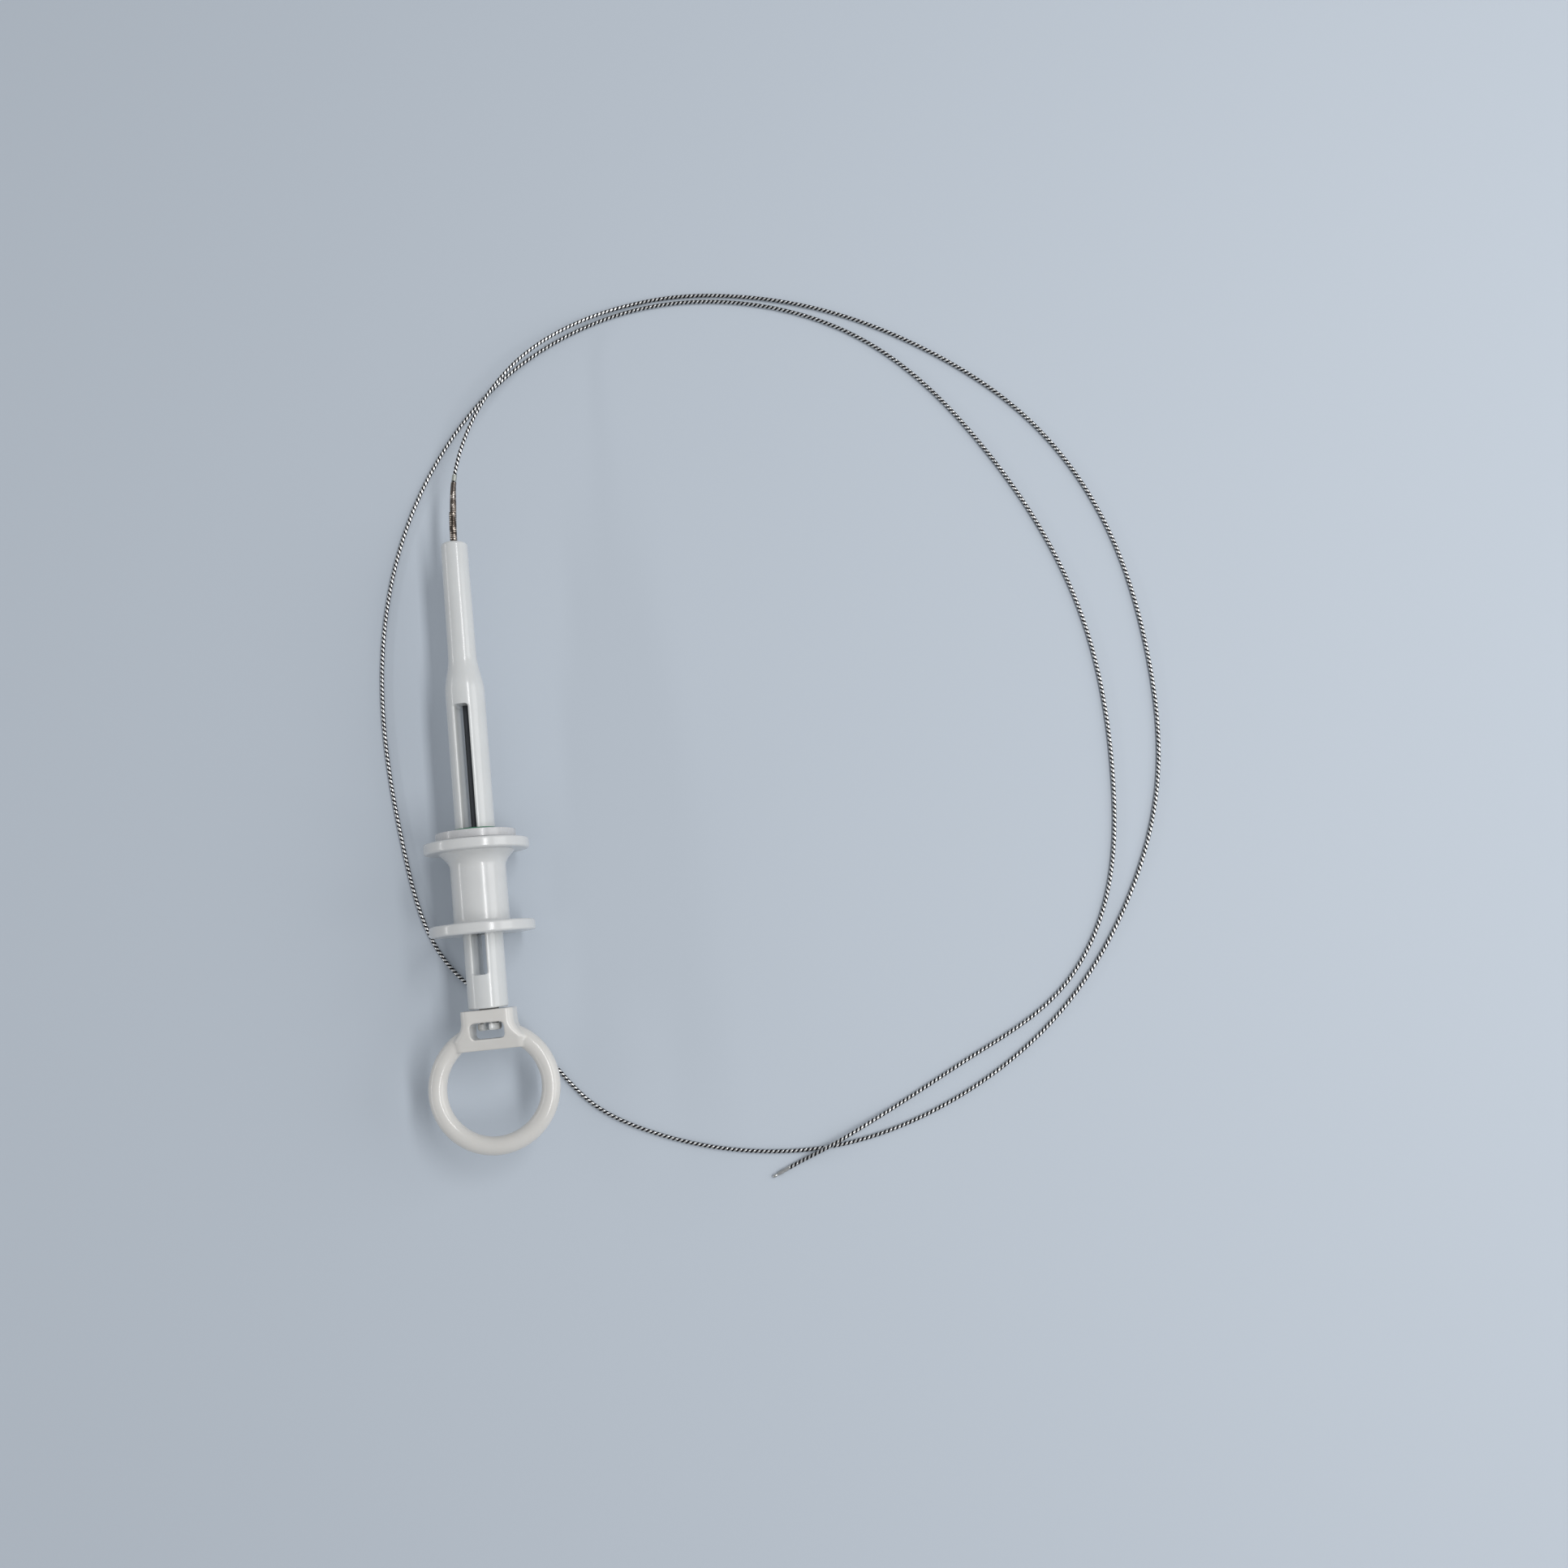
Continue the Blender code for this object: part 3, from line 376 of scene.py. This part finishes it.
# Spool, collar and guide ring. Two fingers hold the white spool between its flanges; the collar plugs into
# its front and traps the crossbar, and a dark green ring in the collar's mouth wipes along the body.
cap_low, cap_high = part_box("slider_cap")
spool_low, spool_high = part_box("slider_spool")
guide_low, guide_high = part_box("guide_ring")
flange_r = (spool_high.z - spool_low.z) / 2
slide_clearance = 0.15 * MM
slide_bore_r = body_r + slide_clearance
flange_thickness, flange_edge, flange_inner_edge = 2.8 * MM, 0.6 * MM, 0.7 * MM
waist_r, waist_run, waist_fillet = 7.0 * MM, 2.4 * MM, 1.0 * MM
flare_out, flare_length = 2.9 * MM, 4.2 * MM
recess_r, recess_depth, bore_edge = 7.15 * MM, 3.3 * MM, 0.2 * MM
front, back = spool_high.y, spool_low.y
under, lower = front - flange_thickness, back + flange_thickness
flare_share = np.linspace(0, 1, 19)[:, None]
flare = np.hstack([under - flare_length * flare_share, waist_r + flare_out * (1 - flare_share) ** 2])
spool_profile = np.concatenate(
    [
        rounded_profile(
            [
                (front - recess_depth, recess_r, 0),
                (front, recess_r, bore_edge),
                (front, flange_r, flange_edge),
                (under, flange_r, flange_inner_edge),
                (under, flare[1, 1], 0),
            ],
            8,
        ),
        flare[2:],
        rounded_profile(
            [
                (lower + waist_run, waist_r, 0),
                (lower, waist_r, waist_fillet),
                (lower, flange_r, flange_inner_edge),
                (back, flange_r, flange_edge),
                (back, slide_bore_r, bore_edge),
                (front - recess_depth, slide_bore_r, 0),
            ],
            8,
        ),
    ]
)
spool = turned("spool_finish", spool_profile, moulded_white("spool_plastic", (0.605, 0.61, 0.605)), 192)
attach(spool, "slider")
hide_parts("slider_spool")

cap_r, cap_thickness, cap_boss_r = (cap_high.z - cap_low.z) / 2, 2.1 * MM, 7.0 * MM
cap_front_edge, cap_edge = 0.22 * MM, 0.15 * MM
seat_width, seat_depth = 0.85 * MM, 1.15 * MM
seat_r = body_r + seat_width
cap_profile = rounded_profile(
    [
        (cap_high.y, seat_r, cap_edge),
        (cap_high.y, cap_r, cap_front_edge),
        (cap_high.y - cap_thickness, cap_r, cap_edge),
        (cap_high.y - cap_thickness, cap_boss_r, 0),
        (cap_low.y, cap_boss_r, 0),
        (cap_low.y, slide_bore_r, 0),
        (cap_high.y - seat_depth, slide_bore_r, 0),
        (cap_high.y - seat_depth, seat_r, 0),
    ]
)
cap = turned("collar_finish", cap_profile, moulded_white("collar_plastic", (0.53, 0.53, 0.535), 0.26), 192)
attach(cap, "slider")
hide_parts("slider_cap")


def soft_green(name):
    """Dark green silicone: a satin surface with cloudy tone and a fine matt grain."""
    look, tree, shader = new_look(name)
    shader.inputs["Roughness"].default_value = 0.48
    cloud = clouds(tree, tree.nodes.new("ShaderNodeTexCoord").outputs["Object"], 1200, 4)
    tone = tones(tree, cloud, (0.014, 0.13, 0.066), (0.030, 0.20, 0.100), 0, 1)
    tree.links.new(tone, shader.inputs["Base Color"])
    relief(tree, cloud, shader, 0.4, 0.01 * MM)
    return look


guide_r, guide_edge = (guide_high.z - guide_low.z) / 2, 0.15 * MM
guide = turned(
    "guide_ring_finish",
    rounded_profile(
        [
            (guide_high.y, slide_bore_r, guide_edge),
            (guide_high.y, guide_r, guide_edge),
            (guide_low.y, guide_r, 0),
            (guide_low.y, slide_bore_r, 0),
        ],
        5,
    ),
    soft_green("guide_silicone"),
)
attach(guide, "slider")
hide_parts("guide_ring")


# Thumb ring. One warm white moulding: a round bar bent to a ring, and a flat-sided neck that spreads into it.
# The body's split tail snaps through a bore in the neck and shows its two prong ends in the window.
ring_low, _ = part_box("thumb_ring")
ring_r, bar_r = 16.6 * MM, 2.35 * MM
ring_centre = ring_low.y + ring_r
neck_top, neck_foot, neck_end = 121.7 * MM, 129.0 * MM, 131.8 * MM
neck_half_width, neck_half_height, neck_corner = 6.65 * MM, 4.6 * MM, 2.2 * MM
straight_share, spread_power, flattening = 0.42, 1.8, 0.55
foot_half_width, foot_half_height = 9.3 * MM, 0.97 * bar_r
window_start, window_end, window_half_width, window_corner = 124.9 * MM, 129.0 * MM, 4.25 * MM, 1.1 * MM
swivel_clearance, bore_overlap = 0.15 * MM, 1.0 * MM


def soft_rectangle(half_width, half_height, corner, count=72):
    """A rectangle's outline whose corners are round with the given radius, as points across X and Z."""
    a = np.linspace(0, 2 * math.pi, count, endpoint=False) + math.pi / count
    across, up = np.cos(a), np.sin(a)
    x = np.sign(across) * (half_width - corner) + corner * across
    z = np.sign(up) * (half_height - corner) + corner * up
    return np.stack([x, z], -1)


def capped_loft(name, sections):
    """Skins sections of like outlines and closes both ends with a fan to their middle points."""
    first = np.broadcast_to(sections[0].mean(0), sections[0].shape)
    last = np.broadcast_to(sections[-1].mean(0), sections[-1].shape)
    points = np.stack([first, *sections, last])
    return mesh_piece(name, points, quads(*points.shape[:2]), None, merge=1e-7)


around, across = 192, 48
turn_a = np.linspace(0, 2 * math.pi, around, endpoint=False)[:, None]
turn_b = np.linspace(0, 2 * math.pi, across, endpoint=False)[None, :]
out = ring_r - bar_r + bar_r * np.cos(turn_b)
level = np.broadcast_to(axis_z + bar_r * np.sin(turn_b), (around, across))
bar_points = np.stack([out * np.cos(turn_a), ring_centre + out * np.sin(turn_a), level], -1)
bar = mesh_piece("ring_bar", bar_points, quads(around, across, wrap_rows=True), None)
down_neck = np.linspace(0, 1, 24)
spread = np.clip((down_neck - straight_share) / (1 - straight_share), 0, 1) ** spread_power
sections = []
for along, wide in zip(down_neck, spread):
    outline = soft_rectangle(
        neck_half_width + (foot_half_width - neck_half_width) * wide,
        neck_half_height - flattening * (neck_half_height - bar_r) * wide,
        neck_corner,
    )
    place_y = nose_y - neck_top - (neck_foot - neck_top) * along
    sections.append(np.insert(outline, 1, place_y, axis=1) + [0, 0, axis_z])
foot = np.insert(soft_rectangle(foot_half_width, foot_half_height, neck_corner), 1, nose_y - neck_end, axis=1)
sections.append(foot + [0, 0, axis_z])
neck = capped_loft("ring_neck", sections)
bore_r = tail_r + swivel_clearance
bore_start, bore_end = nose_y - neck_top + bore_overlap, nose_y - window_start - bore_overlap
bore = turned(
    "neck_bore",
    np.array([[bore_start, 0], [bore_start, bore_r], [bore_end, bore_r], [bore_end, 0]]),
    None,
    64,
    closed=False,
)
window_outline = soft_rectangle(window_half_width, (window_end - window_start) / 2, window_corner)
window_outline[:, 1] += nose_y - (window_start + window_end) / 2
through = 2 * neck_half_height
window = capped_loft(
    "neck_window", [np.insert(window_outline, 2, axis_z + end, axis=1) for end in (-through, through)]
)
ring = joined_and_cut(
    "thumb_ring_finish",
    bar,
    [(neck, "UNION"), (bore, "DIFFERENCE"), (window, "DIFFERENCE")],
    moulded_white("ring_plastic", (0.63, 0.615, 0.585), 0.24),
    voxel=0.19 * MM,
    smoothing=14,
)
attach(ring, "ring")
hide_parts("thumb_ring")


# Coil sheath. A close-wound coil of several bright stainless wires with a long lay, so it shines in short
# slanting dashes; the near-black grooves between the dashes are painted shade. It leaves the nose, comes down
# to the table, lies there in two loops and passes over itself near the jaws.
sheath_r = 0.525 * MM
table_gap = 0.02 * MM
sheath_z = sheath_r + table_gap
nose_inside = 13.0 * MM
tip_heading, end_straight = math.radians(203), 2.5 * MM
sheath_end = np.array([71.5, -91.2]) * MM
last_bend = sheath_end - end_straight * np.array([math.cos(tip_heading), math.sin(tip_heading)])
route = np.array(
    [
        (0, nose_y - nose_inside, axis_z),
        (0, nose_y - nose_inside / 2, axis_z),
        (0, nose_y, axis_z),
        (0.0003, nose_y + 0.0090, axis_z),
        (0.0015, nose_y + 0.0188, 0.0130),
        (0.0048, 0.1080, 0.0123),
        (0.0090, 0.1168, 0.0107),
        (0.0140, 0.1243, 0.0088),
        (0.0205, 0.1315, 0.0067),
        (0.0295, 0.1382, 0.0043),
        (0.0420, 0.1440, 0.0018),
        (0.0550, 0.1470, sheath_z),
        (0.0810, 0.1460, sheath_z),
        (0.1065, 0.1388, sheath_z),
        (0.1310, 0.1257, sheath_z),
        (0.1575, 0.1025, sheath_z),
        (0.1755, 0.0690, sheath_z),
        (0.1815, 0.0350, sheath_z),
        (0.1795, -0.0015, sheath_z),
        (0.1670, -0.0325, sheath_z),
        (0.1470, -0.0580, sheath_z),
        (0.1165, -0.0780, sheath_z),
        (0.0845, -0.0868, sheath_z),
        (0.0605, -0.0857, sheath_z),
        (0.0345, -0.0775, sheath_z),
        (0.0225, -0.0700, sheath_z),
        (0.0143, -0.0605, sheath_z),
        (0.0058, -0.0497, sheath_z),
        (-0.0036, -0.0400, sheath_z),
        (-0.0118, -0.0312, sheath_z),
        (-0.0218, 0.0000, sheath_z),
        (-0.0250, 0.0380, sheath_z),
        (-0.0225, 0.0645, sheath_z),
        (-0.0120, 0.0957, sheath_z),
        (0.0000, 0.1143, sheath_z),
        (0.0150, 0.1290, sheath_z),
        (0.0270, 0.1365, sheath_z),
        (0.0550, 0.1452, sheath_z),
        (0.0810, 0.1441, sheath_z),
        (0.1140, 0.1303, sheath_z),
        (0.1444, 0.0955, sheath_z),
        (0.1652, 0.0460, sheath_z),
        (0.1680, 0.0030, sheath_z),
        (0.1600, -0.0350, sheath_z),
        (0.1465, -0.0535, sheath_z),
        (0.1215, -0.0680, sheath_z),
        (0.1040, -0.0768, sheath_z),
        (0.0930, -0.0820, 0.0014),
        (0.0838, -0.0861, 0.0019),
        (0.0780, -0.0885, 0.0013),
        (*last_bend, sheath_z),
        (*sheath_end, sheath_z),
    ]
)


def spline_line(points, lowest, fineness=60):
    """A natural cubic spline through the points, no lower than given: place(length) and the whole length."""
    t = np.concatenate([[0], np.cumsum(np.linalg.norm(np.diff(points, axis=0), axis=1))])
    h, count = np.diff(t)[:, None], len(points)
    system = np.diag(np.concatenate([[1], 2 * (h[:-1, 0] + h[1:, 0]), [1]]))
    system[np.arange(1, count - 1), np.arange(count - 2)] = h[:-1, 0]
    system[np.arange(1, count - 1), np.arange(2, count)] = h[1:, 0]
    slope = np.diff(points, axis=0) / h
    pull = np.zeros_like(points)
    pull[1:-1] = 6 * np.diff(slope, axis=0)
    bend = np.linalg.solve(system, pull)

    def at(values):
        k = np.clip(np.searchsorted(t, values) - 1, 0, count - 2)
        a, b, step = (t[k + 1] - values)[:, None], (values - t[k])[:, None], h[k]
        cubic = (bend[k] * a**3 + bend[k + 1] * b**3) / (6 * step)
        before = (points[k] / step - bend[k] * step / 6) * a
        after = (points[k + 1] / step - bend[k + 1] * step / 6) * b
        spots = cubic + before + after
        spots[:, 2] = np.maximum(spots[:, 2], lowest)
        return spots

    fine = np.linspace(0, t[-1], fineness * count)
    run = np.concatenate([[0], np.cumsum(np.linalg.norm(np.diff(at(fine), axis=0), axis=1))])
    return (lambda lengths: at(np.interp(lengths, run, fine))), run[-1]


sheath_place, sheath_length = spline_line(route, sheath_z)


def coil_tube(name, start, end, radius, look, segments, step, lead, starts, depth, inner=None):
    """A tube along the sheath's line whose radius swells where its wires pass, on a helix of the given lead.

    The radius is whole on each wire's crown, and smaller by the depth's share of it in the grooves between.
    The ends close to their middles or, where an inner radius is given, to a bore of that radius.
    The UV map counts turns round the tube and leads along it, so that a pattern follows the helix.
    """
    count = 1 + max(2, round((end - start) / step))
    lengths = np.linspace(start, end, count)
    centre = sheath_place(lengths)
    heading = np.gradient(centre, axis=0)
    heading /= np.linalg.norm(heading, axis=1, keepdims=True)
    side = np.cross(heading, [0, 0, 1])
    side /= np.linalg.norm(side, axis=1, keepdims=True)
    up = np.cross(side, heading)
    turn = np.linspace(0, 2 * math.pi, segments, endpoint=False)[None, :]
    phase = starts * (turn - 2 * math.pi * lengths[:, None] / lead)
    swell = radius * (1 - depth * (1 - np.abs(np.cos(phase / 2)) ** 0.5))
    round_out = side[:, None] * np.cos(turn)[..., None] + up[:, None] * np.sin(turn)[..., None]
    points = centre[:, None] + swell[..., None] * round_out
    if inner is None:
        ends = [np.broadcast_to(centre[k], points[0].shape) for k in (0, -1)]
    else:
        ends = [centre[k] + inner * round_out[k] for k in (0, -1)]
    points = np.concatenate([ends[0][None], points, ends[1][None]])
    faces = quads(count + 2, segments, wrap_rows=inner is not None)
    mesh = bpy.data.meshes.new(name)
    mesh.from_pydata(points.reshape(-1, 3).tolist(), [], faces.tolist())
    row, column = np.divmod(faces, segments)
    column = np.where(column < column[:, :1], column + segments, column)
    along = np.interp(row, np.arange(count + 2), np.concatenate([[start], lengths, [end]]))
    uv = np.stack([column / segments, along / lead], -1)
    mesh.uv_layers.new(name="UVMap").data.foreach_set("uv", uv.astype(np.float32).ravel())
    bm = bmesh.new()
    bm.from_mesh(mesh)
    bmesh.ops.remove_doubles(bm, verts=bm.verts, dist=1e-7)
    bmesh.ops.recalc_face_normals(bm, faces=bm.faces)
    bm.to_mesh(mesh)
    bm.free()
    mesh.shade_smooth()
    mesh.materials.append(look)
    return placed(name, mesh)


def wound_wire(name, bright, dark, roughness, starts, wires, depth, stain_and_shade_share, bare_from):
    """Bright wire on the UV map's helix: grooves between crowns darkened as painted shade, dark patches,
    and fine wires as bump.

    Patches show where a noise stays under the given level, and the given share is how far they cover
    the bright wire. On the sheath they are stains; on the guards they are painted shade that leaves the
    shine in sparse spots.
    """
    look, tree, shader = new_look(name)
    shader.inputs["Metallic"].default_value = 1.0
    shader.inputs["Roughness"].default_value = roughness
    place = tree.nodes.new("ShaderNodeUVMap")
    place.uv_map = "UVMap"
    apart = tree.nodes.new("ShaderNodeSeparateXYZ")
    tree.links.new(place.outputs["UV"], apart.inputs["Vector"])
    helix = tree.nodes.new("ShaderNodeMath")
    helix.operation = "SUBTRACT"
    tree.links.new(apart.outputs["X"], helix.inputs[0])
    tree.links.new(apart.outputs["Y"], helix.inputs[1])

    def crowns(count, power):
        """A bump of height 1 over each of count wires round the tube."""
        phase = tree.nodes.new("ShaderNodeMath")
        phase.operation = "MULTIPLY"
        phase.inputs[1].default_value = count * math.pi
        tree.links.new(helix.outputs[0], phase.inputs[0])
        wave = tree.nodes.new("ShaderNodeMath")
        wave.operation = "COSINE"
        tree.links.new(phase.outputs[0], wave.inputs[0])
        height = tree.nodes.new("ShaderNodeMath")
        height.operation = "ABSOLUTE"
        tree.links.new(wave.outputs[0], height.inputs[0])
        shaped = tree.nodes.new("ShaderNodeMath")
        shaped.operation = "POWER"
        shaped.inputs[1].default_value = power
        tree.links.new(height.outputs[0], shaped.inputs[0])
        return shaped.outputs[0]

    # Painted shade: the grooves between crowns take the dark tone, so the wire shines only along its crowns.
    wire = tones(tree, crowns(starts, 1.0), dark, bright, 0.6, 0.82)
    # Dark patches where a noise stays low: stains on the sheath; on the guards painted shade that covers most
    # of the wire, so the shine shows only in sparse spots.
    patches = clouds(tree, tree.nodes.new("ShaderNodeTexCoord").outputs["Object"], 700, 2)
    patch_edge = 0.1
    stain_and_shade_patch = tree.nodes.new("ShaderNodeMapRange")
    stain_and_shade_patch.inputs["From Min"].default_value = bare_from
    stain_and_shade_patch.inputs["From Max"].default_value = bare_from + patch_edge
    stain_and_shade_patch.inputs["To Min"].default_value = 1 - stain_and_shade_share
    tree.links.new(patches, stain_and_shade_patch.inputs["Value"])
    mix = tree.nodes.new("ShaderNodeMix")
    mix.data_type = "RGBA"
    mix.inputs["A"].default_value = (*dark, 1)
    tree.links.new(stain_and_shade_patch.outputs["Result"], mix.inputs["Factor"])
    tree.links.new(wire, mix.inputs["B"])
    tree.links.new(mix.outputs["Result"], shader.inputs["Base Color"])
    relief(tree, crowns(wires, 0.5), shader, 0.6, depth)
    return look


sheath_lead, sheath_starts = 2.4 * MM, 2
# The dark tone is painted shade in the grooves and the colour of the few stains.
sheath_look = wound_wire(
    "sheath_wire",
    bright=(0.84, 0.84, 0.83),
    dark=(0.012, 0.012, 0.014),
    roughness=0.24,
    starts=sheath_starts,
    wires=8,
    depth=0.03 * MM,
    stain_and_shade_share=0.15,
    bare_from=0.44,
)
sheath = coil_tube(
    "coil_sheath_finish",
    start=0,
    end=sheath_length,
    radius=sheath_r,
    look=sheath_look,
    segments=10,
    step=0.165 * MM,
    lead=sheath_lead,
    starts=sheath_starts,
    depth=0.14,
)
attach(sheath, "handle")
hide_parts("coil_sheath")


# Ferrule, coil guards and collar. Two short coils of brownish wire, one over the other, stiffen the sheath
# where it leaves the nose; a plain ferrule holds them inside, and a matt grey collar ends the inner one.
# Their dark look is mostly painted shade: it covers most of the wire and leaves the shine in sparse spots.
# The dark tone is painted shade in the grooves and, over most of the wire, in the patches that leave the
# shine in sparse spots.
guard_look = wound_wire(
    "guard_wire",
    bright=(0.72, 0.63, 0.55),
    dark=(0.07, 0.055, 0.045),
    roughness=0.2,
    starts=1,
    wires=1,
    depth=0.01 * MM,
    stain_and_shade_share=0.95,
    bare_from=0.5,
)
inner_look = wound_wire(
    "inner_guard_wire",
    bright=(0.74, 0.67, 0.61),
    dark=(0.08, 0.065, 0.055),
    roughness=0.2,
    starts=1,
    wires=1,
    depth=0.01 * MM,
    stain_and_shade_share=0.85,
    bare_from=0.46,
)
steps_a_turn = 10
for name, start, end, radius, bore_r, lead, look in (
    ("outer_guard", 9.3, 21.4, 0.95, 0.775, 0.52, guard_look),
    ("inner_guard", 9.3, 29.8, 0.725, 0.575, 0.46, inner_look),
):
    piece = coil_tube(
        f"{name}_finish",
        start=start * MM,
        end=end * MM,
        radius=radius * MM,
        look=look,
        segments=28,
        step=lead * MM / steps_a_turn,
        lead=lead * MM,
        starts=1,
        depth=0.1,
        inner=bore_r * MM,
    )
    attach(piece, "handle")
    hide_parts(name)
collar = coil_tube(
    "guard_collar_finish",
    start=30.1 * MM,
    end=31.8 * MM,
    radius=0.625 * MM,
    look=drawn_steel("collar_steel", (0.46, 0.48, 0.44), 0.55),
    segments=32,
    step=0.1 * MM,
    lead=1,
    starts=1,
    depth=0,
    inner=0.575 * MM,
)
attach(collar, "handle")
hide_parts("guard_collar")
nodes["sheath_ferrule"].material_slots[0].material = drawn_steel("ferrule_steel", (0.5, 0.5, 0.5), 0.3)


# Jaws, links and their sleeve. Tiny machined stainless pieces at the sheath's end: a slotted sleeve, two cups
# with rat teeth on one pin, and two links to a pusher on the pull wire's end, which opens the cups as it
# comes forward.
tip_names = (
    "tip_sleeve", "jaw_pin", "jaw_left", "jaw_right", "link_pin_left", "link_pin_right",
    "link_left", "link_right", "pusher", "pusher_pin",
)
tip_look = drawn_steel("jaw_steel", (0.62, 0.62, 0.61), 0.24)
for name in tip_names:
    nodes[name].material_slots[0].material = tip_look
cord_points = 700
cord_line = sheath_place(np.linspace(0, sheath_length, cord_points))


# Table, light and camera. A plain pale table and even light all round, with three soft lamps: a long one up
# on the right, a broad one lower on the right, and a thin one low on the left for the second line of shine
# along the handle.
floor_size, floor_colour = 3.0, (0.50, 0.55, 0.61)
edge = floor_size / 2
floor_corners = [(-edge, -edge, 0), (edge, -edge, 0), (edge, edge, 0), (-edge, edge, 0)]
floor_mesh = bpy.data.meshes.new("table")
floor_mesh.from_pydata(floor_corners, [], [(0, 1, 2, 3)])
floor = placed("table", floor_mesh)
floor_look, _, floor_shader = new_look("table_paint")
floor_shader.inputs["Base Color"].default_value = (*floor_colour, 1)
floor_shader.inputs["Roughness"].default_value = 0.7
floor_shader.inputs["Specular IOR Level"].default_value = 0.2
floor_mesh.materials.append(floor_look)

world = bpy.data.worlds.new("even_light")
world.use_nodes = True
world.node_tree.nodes["Background"].inputs["Color"].default_value = (0.93, 0.96, 1.0, 1)
world.node_tree.nodes["Background"].inputs["Strength"].default_value = 0.4
bpy.context.scene.world = world
for name, from_plumb, distance, width, length, watts in (
    ("long_lamp", 31, 0.9, 0.11, 1.0, 4.2),
    ("side_lamp", 64, 1.0, 0.5, 0.9, 2.8),
    ("thin_lamp", -70, 0.8, 0.04, 0.9, 1.0),
):
    lamp = bpy.data.lights.new(name, "AREA")
    lamp.shape = "RECTANGLE"
    lamp.size, lamp.size_y, lamp.energy = width, length, watts
    stand = placed(name, lamp)
    lean = math.radians(from_plumb)
    stand.location = (distance * math.sin(lean), 0, distance * math.cos(lean))
    stand.rotation_euler = (0, lean, 0)

sensor_width, focal_pixels, frame_pixels = 36.0, 1700.0, 1932.0
camera_lean, camera_turn = math.radians(7), math.radians(-5.811)
camera_data = bpy.data.cameras.new("camera")
camera_data.sensor_width = sensor_width
camera_data.lens = sensor_width * focal_pixels / frame_pixels
camera_data.clip_start = 0.01
camera = placed("camera", camera_data)
camera.location = (0.07567, -0.03641, 0.3663)
camera.rotation_euler = (camera_lean, 0, camera_turn)
bpy.context.scene.camera = camera
bpy.context.scene.view_settings.view_transform = "Standard"
